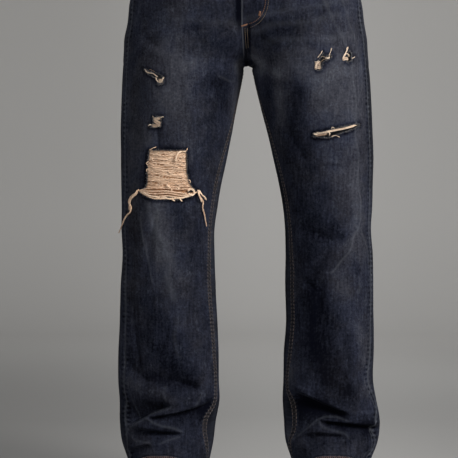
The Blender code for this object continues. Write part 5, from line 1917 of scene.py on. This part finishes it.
def bartacks(orange):
    """At the fly and on the belt loops."""
    bartack(orange, both_fronts, (-0.0104, -0.1748), (0.0006, -0.1712), 0.0022, DENIM + 0.0003)
    bartack(orange, both_fronts, (0.0232, -0.1497), (0.0216, -0.1570), 0.0032, 0.0005)
    for degrees in LOOP_ANGLES:
        turn = math.radians(degrees)
        for level, stand in ((-0.0235, 0.0036), (0.0165, 0.0044)):
            def on_loop(across, height, out):
                return waist_ring(turn + across / WAIST_RADIUS, height, out)
            bartack(orange, on_loop, (-0.0045, level), (0.0045, level), 0.0020, stand)


# ---------------------------------------------------------------------------------------
# Yarns of the rips
# ---------------------------------------------------------------------------------------
# Gaps between the knee's weft yarns: from one distance from the centre plane and height to
# another, how far the gap bends down between them, and half its width
YarnGap = namedtuple("YarnGap", "x1 height1 x2 height2 bend width")
YARN_GAPS = in_mm(
    YarnGap,
    (176, -412.5, 140, -414, 1, 1.1), (172, -419.5, 147, -421.5, 0.4, 1),
    (141, -420, 130, -422.5, -2, 0.9), (174.5, -437, 114, -445.5, 3, 1.3),
    (175, -449, 155.5, -456.5, 1, 1.2), (156, -458.5, 145, -459, 0, 1),
    (166, -403, 136, -402.5, 0.6, 0.6), (145, -435.5, 124, -437.5, 0.8, 0.7),
    (123, -419.5, 109, -419, 0, 0.8), (152, -429, 133, -431, 0.6, 0.7),
    (127, -453, 109, -450, 0.8, 0.6),
)
WEFT_SPACING = 0.00125
WEFT_RADIUS = 0.00066
BUNDLE_TOP = -0.4625  # below this height the knee's yarns are gathered into cords
CORNER_LEVEL = -0.4703  # the yarns stop short of the knee rip's inner corner, at this height
CORNER_BACK = 0.0165
# Cords across the foot of the knee rip, from its outer corner to its inner one
KNEE_CORDS = np.array((  # in mm
    ((193, -467.2), (176, -464), (140, -464.2), (118, -465.5), (106, -464)),
    ((193.5, -468.2), (170, -469), (140, -469), (125, -471.5), (109, -473)),
    ((193, -469.5), (169, -473.5), (140, -472.8), (118, -476.5), (98, -473.5)),
    ((191.5, -470.8), (170, -477.8), (143, -477.5), (118, -480), (95, -473.5)),
    ((188, -473), (169, -481.5), (143, -482), (120, -481.5), (98.5, -476.5)),
)) / 1000
# Loose threads: how many strands, how far they spread across the route, their radius, how
# pale they are, how far they stand off the cloth, and a route on the cloth as (distance from
# the centre plane, height)
Thread = namedtuple("Thread", "count spread radius shade stand route")


def loose_threads(*rows):
    """Threads from rows in mm, with the shade in hundredths."""
    made = []
    for count, spread, radius, shade, stand, *route in rows:
        places = np.reshape(route, (-1, 2)) / 1000
        made.append(Thread(count, spread / 1000, radius / 1000, shade / 100, stand / 1000,
                           places))
    return made


THREADS = {
    "knee": loose_threads(
        # the knee rip's white loop, the ring at its inner corner and its frayed corners
        (3, 0.9, 0.9, 115, 3.4, 125.2, -417, 127.2, -412.5, 126.8, -406, 122.8, -400.3, 116.5,
         -397.2),
        (4, 1.3, 0.8, 105, 2.6, 106.2, -470, 104.5, -466, 100, -465, 96.2, -468, 96, -472.5,
         99.5, -475.5, 104.2, -474.5, 106.2, -470),
        (4, 1, 0.7, 70, 1.2, 97.5, -470, 93, -471, 88.5, -470),
        (2, 0.5, 0.46, 75, 2.2, 175.5, -396, 170, -392.5, 162.5, -389.8),
        (2, 0.5, 0.46, 60, 2, 106.8, -391.5, 108.2, -395, 111.5, -398.5),
        (2, 1, 0.6, 85, 1.2, 118, -399, 112, -397.5, 108.5, -399),
        (3, 0.8, 0.6, 90, 2.2, 135, -480, 133, -485, 129, -486.2),
        (3, 1, 0.6, 95, 2.6, 122, -479, 119, -485, 116.5, -487.2),
        (2, 1, 0.7, 90, 2, 142, -457.5, 137, -464, 133, -469),
        # the pair hanging from its inner corner, and slack ends along its foot and its sides
        (3, 0.7, 0.9, 100, 5.5, 91.5, -465.5, 88, -469, 83.5, -475, 79, -480, 75, -485),
        (3, 0.7, 0.9, 95, 6.5, 90, -467, 89.3, -474, 87.2, -482, 82.5, -489),
        (3, 0.9, 0.9, 75, 5.5, 195.5, -466.5, 198.5, -473.5, 205, -483, 208.5, -491.5, 209.8,
         -500, 211, -505),
        (4, 1.2, 0.7, 95, 1.4, 190.5, -469, 178, -476, 165, -479, 152, -483.5),
        (4, 1.2, 0.7, 90, 1.6, 156, -483, 148, -480, 140, -482.5, 131, -483),
        (4, 1.2, 0.7, 92, 1.4, 133, -483, 124, -481.2, 113, -480, 101, -475.5),
        (2, 0.8, 0.7, 100, 2.2, 145, -456, 140, -461, 138.5, -466),
        (2, 0.6, 0.5, 80, 1.2, 176, -415, 180, -419, 177, -423.5),
        (2, 0.6, 0.5, 80, 1.2, 175, -429, 179.5, -430, 180, -435),
        (2, 0.6, 0.5, 80, 1.2, 106, -448, 102, -450.5, 103.5, -455),
    ),
    "right": loose_threads(
        # the slash on the right thigh and the tuft at its end
        (2, 0.6, 0.46, 80, 1, 184, -249, 178.5, -256, 170, -258, 158.5, -265.5),
        (1, 0, 0.2, 5, 0.6, 178, -250, 169, -253, 160, -259),
        (6, 3.4, 0.53, 62, 0.8, 159, -272.2, 150, -271.6),
        (3, 0.8, 0.4, 80, 1.6, 163, -265, 161.2, -270.5, 158, -274.5),
        (3, 1, 0.46, 95, 1.8, 149, -265, 150.2, -269.5, 153, -274),
        # the hole below it
        (5, 2.6, 0.53, 40, 0.4, 169, -340, 154.5, -338.8),
        (6, 3.4, 0.53, 45, 0.8, 167, -341, 155, -349.5),
        (5, 2.6, 0.53, 50, 0.6, 171.5, -352, 154.5, -350.5),
        (2, 0.7, 0.4, 95, 1.2, 156, -338.2, 152, -336.2, 148.5, -336.2),
        (2, 0.7, 0.4, 90, 1.2, 170, -350.5, 174.5, -350, 177.5, -353),
        (1, 0, 0.33, 70, 1, 166, -337.5, 170, -334),
    ),
    "left": loose_threads(
        # the hole on the left thigh
        (8, 7.2, 0.59, 55, 0.6, 120, -245.2, 131.8, -244.6),
        (3, 1.7, 0.46, 80, 1.4, 129, -236, 124, -242, 121.5, -252),
        (2, 0.4, 0.36, 80, 1.2, 134.5, -218.5, 130, -225.5, 125, -232),
        (2, 0.5, 0.36, 75, 1.4, 151, -213, 148.5, -220, 145.5, -229),
        (3, 1.4, 0.46, 80, 1.2, 140, -230, 144, -232.5, 147.5, -229),
        (1, 0, 0.26, 55, 0.6, 126, -235, 134, -229.5, 142, -231),
        (1, 0, 0.26, 60, 0.4, 130, -239, 138, -234, 145, -233),
        # the hole nearer the left side
        (3, 0.9, 0.5, 70, 1.4, 181, -209, 177.5, -218, 173.5, -226, 170.5, -234),
        (6, 3, 0.53, 60, 0.6, 170, -232.2, 182.2, -231.2),
        (2, 0.8, 0.46, 75, 1.8, 172, -229, 177, -223.5, 181, -224, 182, -229),
        (2, 0.7, 0.33, 85, 1.2, 187, -231, 191, -229, 194.5, -226.2),
        # the slash across the left thigh
        (6, 1.6, 0.58, 60, 0.2, 119.5, -366.8, 130, -364.2, 151, -361.8, 172, -357, 198,
         -349.7),
        # a sunken layer of strands in a dark shade: painted shade under the slash's pale band
        (3, 1.8, 0.4, 15, -0.6, 121.5, -369.5, 133, -368.5, 145, -366.5),
        (4, 1.5, 0.46, 85, 1, 119, -364, 122, -367.2, 127, -366.8),
        (2, 0.5, 0.4, 80, 1.4, 150, -359, 152.5, -354.8, 157.5, -358),
        (3, 0.8, 0.46, 85, 1.4, 145.5, -362, 147.5, -366, 147, -370.5),
        (2, 0.5, 0.4, 65, 1, 149, -372.2, 156, -369.8, 162, -370.5, 166.5, -373.5),
    ),
}


def on_front(leg, x, height, out):
    """Points of a front's cloth at distances from the centre plane."""
    x, height = np.broadcast_arrays(np.asarray(x, float), np.asarray(height, float))
    return cloth_at(leg, front_angle(leg, x, height), height, out)


def rip_span(height):
    """The knee rip's inner and outer edges at these heights."""
    at, outer, inner = np.array(KNEE_RIP[::-1]).T
    return np.interp(height, at, inner), np.interp(height, at, outer)


def weft_layer(soup, spacing, sunk, radius, shade_range, gaps, seed, bottom):
    """The knee's horizontal yarns: wavy, crowded together and parted at the gaps."""
    random = np.random.default_rng(seed)
    heights = np.arange(KNEE_RIP[0].height - 0.0008, bottom, -spacing)
    inner, outer = rip_span(heights)
    inner = inner + CORNER_BACK * bell(heights - CORNER_LEVEL, 0.0030, 4)
    share = np.linspace(0, 1, 46)
    x = inner[:, None] - 0.0025 + (outer - inner + 0.005)[:, None] * share
    row = np.broadcast_to(heights[:, None], x.shape)
    level = row + 0.0025 * noise(np.stack([x, row * 2.2], -1), 0.016, seed)
    level += 0.0008 * noise(np.stack([x, row * 9], -1), 0.0042, seed + 1)
    level += random.uniform(-0.3, 0.3, (len(heights), 1)) * spacing
    if gaps:
        level = parted(x, level)
    stand = sunk + 0.0005 * noise(np.stack([x, row * 7], -1), 0.007, seed + 2)
    edge = np.minimum(x - inner[:, None], outer[:, None] - x)
    stand -= 0.0012 * (1 - ease(edge / 0.0025 + 0.4))
    thick = radius * (1 + 0.22 * noise(np.stack([x, row * 11], -1), 0.006, seed + 3))
    soup.tubes(on_front("right", x, level, stand), thick, 6,
               random.uniform(*shade_range, len(heights)))


def parted(x, level):
    """Heights of yarn points, pushed away from the gaps."""
    for gap in YARN_GAPS:
        share = (x - gap.x1) / (gap.x2 - gap.x1)
        line = gap.height1 + (gap.height2 - gap.height1) * share
        line = line - 4 * gap.bend * share * (1 - share)
        width = 1.5 * gap.width * ease(share / 0.15) * ease((1 - share) / 0.15)
        off = level - line
        level = level + np.sign(off) * width * np.exp(-np.abs(off) / 0.0035)
    return level


def twisted(soup, route, strands, radius, shade, twist=0.010, ends=1.0, seed=0):
    """Strands twisted round a route of points."""
    random = np.random.default_rng(seed)
    along = lengths_along(route)
    ahead = unit(np.gradient(route, axis=0))
    first = unit(np.cross(ahead, (0, 1.0, 0.05)))
    second = np.cross(ahead, first)
    taper = 1 - (1 - ends) * (along / along[-1]) ** 2
    for strand in range(strands):
        turn = 2 * math.pi * (strand / strands + along / twist) + random.uniform(0, 0.5)
        loose = 1 + 0.25 * noise(np.stack([along, np.full_like(along, strand)], 1), 0.02, seed)
        arm = radius * 1.05 * loose * taper
        aside, upright = (arm * np.cos(turn))[:, None], (arm * np.sin(turn))[:, None]
        soup.tubes([route + first * aside + second * upright], radius * 0.92 * taper, 7,
                   [shade + random.uniform(-0.15, 0.15)])


def threads(soup, leg, chosen):
    """Loose threads along their routes, with the strands of each spread apart."""
    random = np.random.default_rng(17)
    for thread in chosen:
        route = smooth_route(thread.route, 0.0009)
        ahead = np.gradient(route, axis=0)
        across = unit(np.stack([-ahead[:, 1], ahead[:, 0]], 1))
        share = np.linspace(0, 1, len(route))
        places, lifts, shades = [], [], []
        for number in range(thread.count):
            side = (number + 0.5) / thread.count * 2 - 1
            offset = side * thread.spread
            sway = thread.radius * 1.2 * noise(
                np.stack([share * 6, np.full_like(share, number * 3.3)], 1), 1.0, number)
            place = route + across * (offset + sway)[:, None]
            kept = random.uniform(0, 0.08), 1 - random.uniform(0, 0.08)
            where = kept[0] + (kept[1] - kept[0]) * share
            place = np.stack([np.interp(where, share, axis) for axis in place.T], 1)
            stand = thread.stand + thread.radius * (0.6 + random.uniform(-0.5, 0.5))
            places.append(place)
            lifts.append(stand * (0.45 + 0.55 * np.sin(math.pi * np.clip(share, 0.06, 1))))
            shades.append(np.clip(thread.shade + random.uniform(-0.2, 0.2), 0, 1))
        places, lifts = np.array(places), np.array(lifts)
        end = np.clip(np.minimum(share, 1 - share) * len(route) / 2, 0.3, 1)
        soup.tubes(on_front(leg, places[..., 0], places[..., 1], lifts),
                   thread.radius * end, 6, shades)


def knee_weft(material):
    soup = Soup()
    # the deep layer gets the darkest shades: painted shade in the gaps between the yarns over it
    weft_layer(soup, spacing=0.0009, sunk=-0.0029, radius=0.00076, shade_range=(-0.1, 0.10),
               gaps=False, seed=51, bottom=-0.4790)
    weft_layer(soup, WEFT_SPACING, sunk=-0.0014, radius=WEFT_RADIUS, shade_range=(0.30, 1.00),
               gaps=True, seed=52, bottom=BUNDLE_TOP)
    for number, route in enumerate(KNEE_CORDS):
        x, height = smooth_route(route, 0.0011).T
        stand = 0.0004 + 0.0011 * np.sin(np.linspace(0, math.pi, len(x)))
        twisted(soup, on_front("right", x, height, stand), 3, 0.00062, 0.55 + 0.07 * number,
                0.013, seed=number)
    threads(soup, "right", THREADS["knee"])
    knee_curls(soup)
    return soup.make("knee_weft", material)


CURLS = 44


def knee_curls(soup):
    """Slack, pale yarns that curl over the knee's weft."""
    random = np.random.default_rng(77)
    share = np.linspace(0, 1, 18)
    for _ in range(CURLS):
        height = random.uniform(-0.4660, -0.3960)
        inner, outer = rip_span(np.array([height]))
        length = random.uniform(0.006, 0.020)
        start = random.uniform(inner[0] - 0.001, outer[0] + 0.001 - length)
        sway = random.uniform(-0.0022, 0.0022)
        level = height + sway * np.sin(math.pi * share * random.uniform(0.8, 2.2))
        stand = 0.0012 * np.sin(math.pi * share) - 0.0006
        soup.tubes([on_front("right", start + length * share, level, stand)],
                   random.uniform(0.00045, 0.00062), 6, [random.uniform(0.60, 1.00)])


def rip_threads(leg, material):
    soup = Soup()
    threads(soup, leg, THREADS[leg])
    return soup.make(f"{leg}_rip_threads", material)


FRAY_SPACING = 0.0009
FIBRE = 0.00016  # radius of a fray


def frays(material):
    """Short fibres round the rips, lying every way."""
    random = np.random.default_rng(8)
    soup = Soup()
    at = np.linspace(0, 1, 6)
    for leg, outlines in RIPS.items():
        feet = []
        for outline in outlines:
            corners = np.array(outline)
            for start, end in zip(corners, np.roll(corners, -1, axis=0)):
                number = max(1, round(float(np.linalg.norm(end - start)) / FRAY_SPACING))
                feet.append(start + (end - start) * random.uniform(0, 1, (number, 1)))
        feet = np.concatenate(feet)
        number = len(feet)
        turn = random.uniform(0, 2 * math.pi, (number, 1))
        turn = turn + random.uniform(-1.2, 1.2, (number, 1)) * at
        reach = random.uniform(0.0010, 0.0036, (number, 1)) * at
        x = feet[:, :1] + reach * np.cos(turn)
        height = feet[:, 1:] + reach * np.sin(turn)
        lift = 0.0007 + 0.0016 * at * random.uniform(0, 1, (number, 1))
        soup.tubes(on_front(leg, x, height, lift), FIBRE * (1.2 - 0.7 * at), 4,
                   random.uniform(0.3, 1, number))
    return soup.make("rip_frays", material)


# ---------------------------------------------------------------------------------------
# Hanging bundles
# ---------------------------------------------------------------------------------------
def hanging_route(route):
    points = []
    for distance, ahead, height in route:
        around = front_angle("right", np.array([distance]), np.array([height]))
        _, y, z = skin("right", around, height)[0]
        points.append((SIDES["right"] * distance, y - ahead, z))
    return smooth_route(points, 0.0016)


def hanging_bundle(side, route, radius, material, seed):
    line = hanging_route(route)
    soup = Soup()
    twisted(soup, line, 3, radius, 0.6, 0.016, 0.62, seed)
    obj = soup.make(f"{side}_hanging_bundle", material)
    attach(obj, "root")
    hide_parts(f"{side}_hanging_yarn")


# ---------------------------------------------------------------------------------------
# The garment
# ---------------------------------------------------------------------------------------
# Flat sizes of the cut pieces: width, length and area
Cut = namedtuple("Cut", "width length area")


def dress(obj, nodes):
    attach(obj, "root")
    if nodes:
        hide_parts(*nodes)


LEG_SHIFT = 1.7  # sets one leg's weave apart from the other's on the flat cloth


def main():
    make_camera()
    yarn = thread("ecru_cotton", (0.44, 0.210, 0.092), (0.99, 0.745, 0.545), 0.9)
    pale = thread("ecru_bleached", (0.29, 0.150, 0.075), (0.88, 0.715, 0.560), 0.9)
    fibre = thread("fray_grey", (0.030, 0.030, 0.036), (0.240, 0.220, 0.210), 0.9)
    hanging_bundle("outer", OUTER_YARN, 0.00080, yarn, 3)
    hanging_bundle("inner", INNER_YARN, 0.00070, yarn, 4)
    outside, inside = denim("denim_worn"), denim("denim_inside", INSIDE_STOPS, None)
    band = denim("denim_waistband")
    cloth = [outside, inside]
    for number, leg in enumerate(SIDES):
        for make, shift, node, cut in (
            (front_panel, 0, "front", "front"), (back_panel, 0.5, "back", "back"),
            (yoke, 0.9, "yoke", "yoke"), (pocket_facing, 1.2, "pocket_facing", "facing"),
            (back_pocket, 1.4, "back_pocket", "pocket"), (hem, 1.6, "hem", "hem"),
        ):
            piece = make(leg, cloth, LEG_SHIFT * (number + 1) + shift)
            dress(piece, [f"{leg}_{node}"])
    dress(fly(cloth), ["fly"])
    dress(waistband([band]), ["waistband"])
    for number, degrees in enumerate(LOOP_ANGLES, start=1):
        dress(belt_loop(number, degrees, [band]), [f"belt_loop_{number}"])
    dress(button(copper()), ["button"])
    dress(knee_weft(yarn), ["knee_yarns"])
    dress(rip_threads("left", pale), ["slash_yarns"])
    dress(rip_threads("right", pale), [])
    dress(frays(fibre), [])
    brown, tan, orange, red = Soup(), Soup(), Soup(), Soup()
    seam_stitches(brown, tan, red)
    waist_stitches(tan)
    fly_stitches(orange, tan)
    bartacks(orange)
    for stitches, name, colour, dark, light in (
        (brown, "brown_stitches", "thread_brown", (0.042, 0.031, 0.029), (0.112, 0.084, 0.078)),
        (red, "hem_stitches", "thread_red_brown", (0.050, 0.025, 0.022), (0.210, 0.110, 0.095)),
        (tan, "tan_stitches", "thread_tan", (0.080, 0.055, 0.032), (0.180, 0.128, 0.082)),
        (orange, "orange_stitches", "thread_orange", (0.110, 0.048, 0.026),
         (0.250, 0.118, 0.064)),
    ):
        dress(stitches.make(name, thread(colour, dark, light)), [])
    make_stage()
    make_lights()


main()
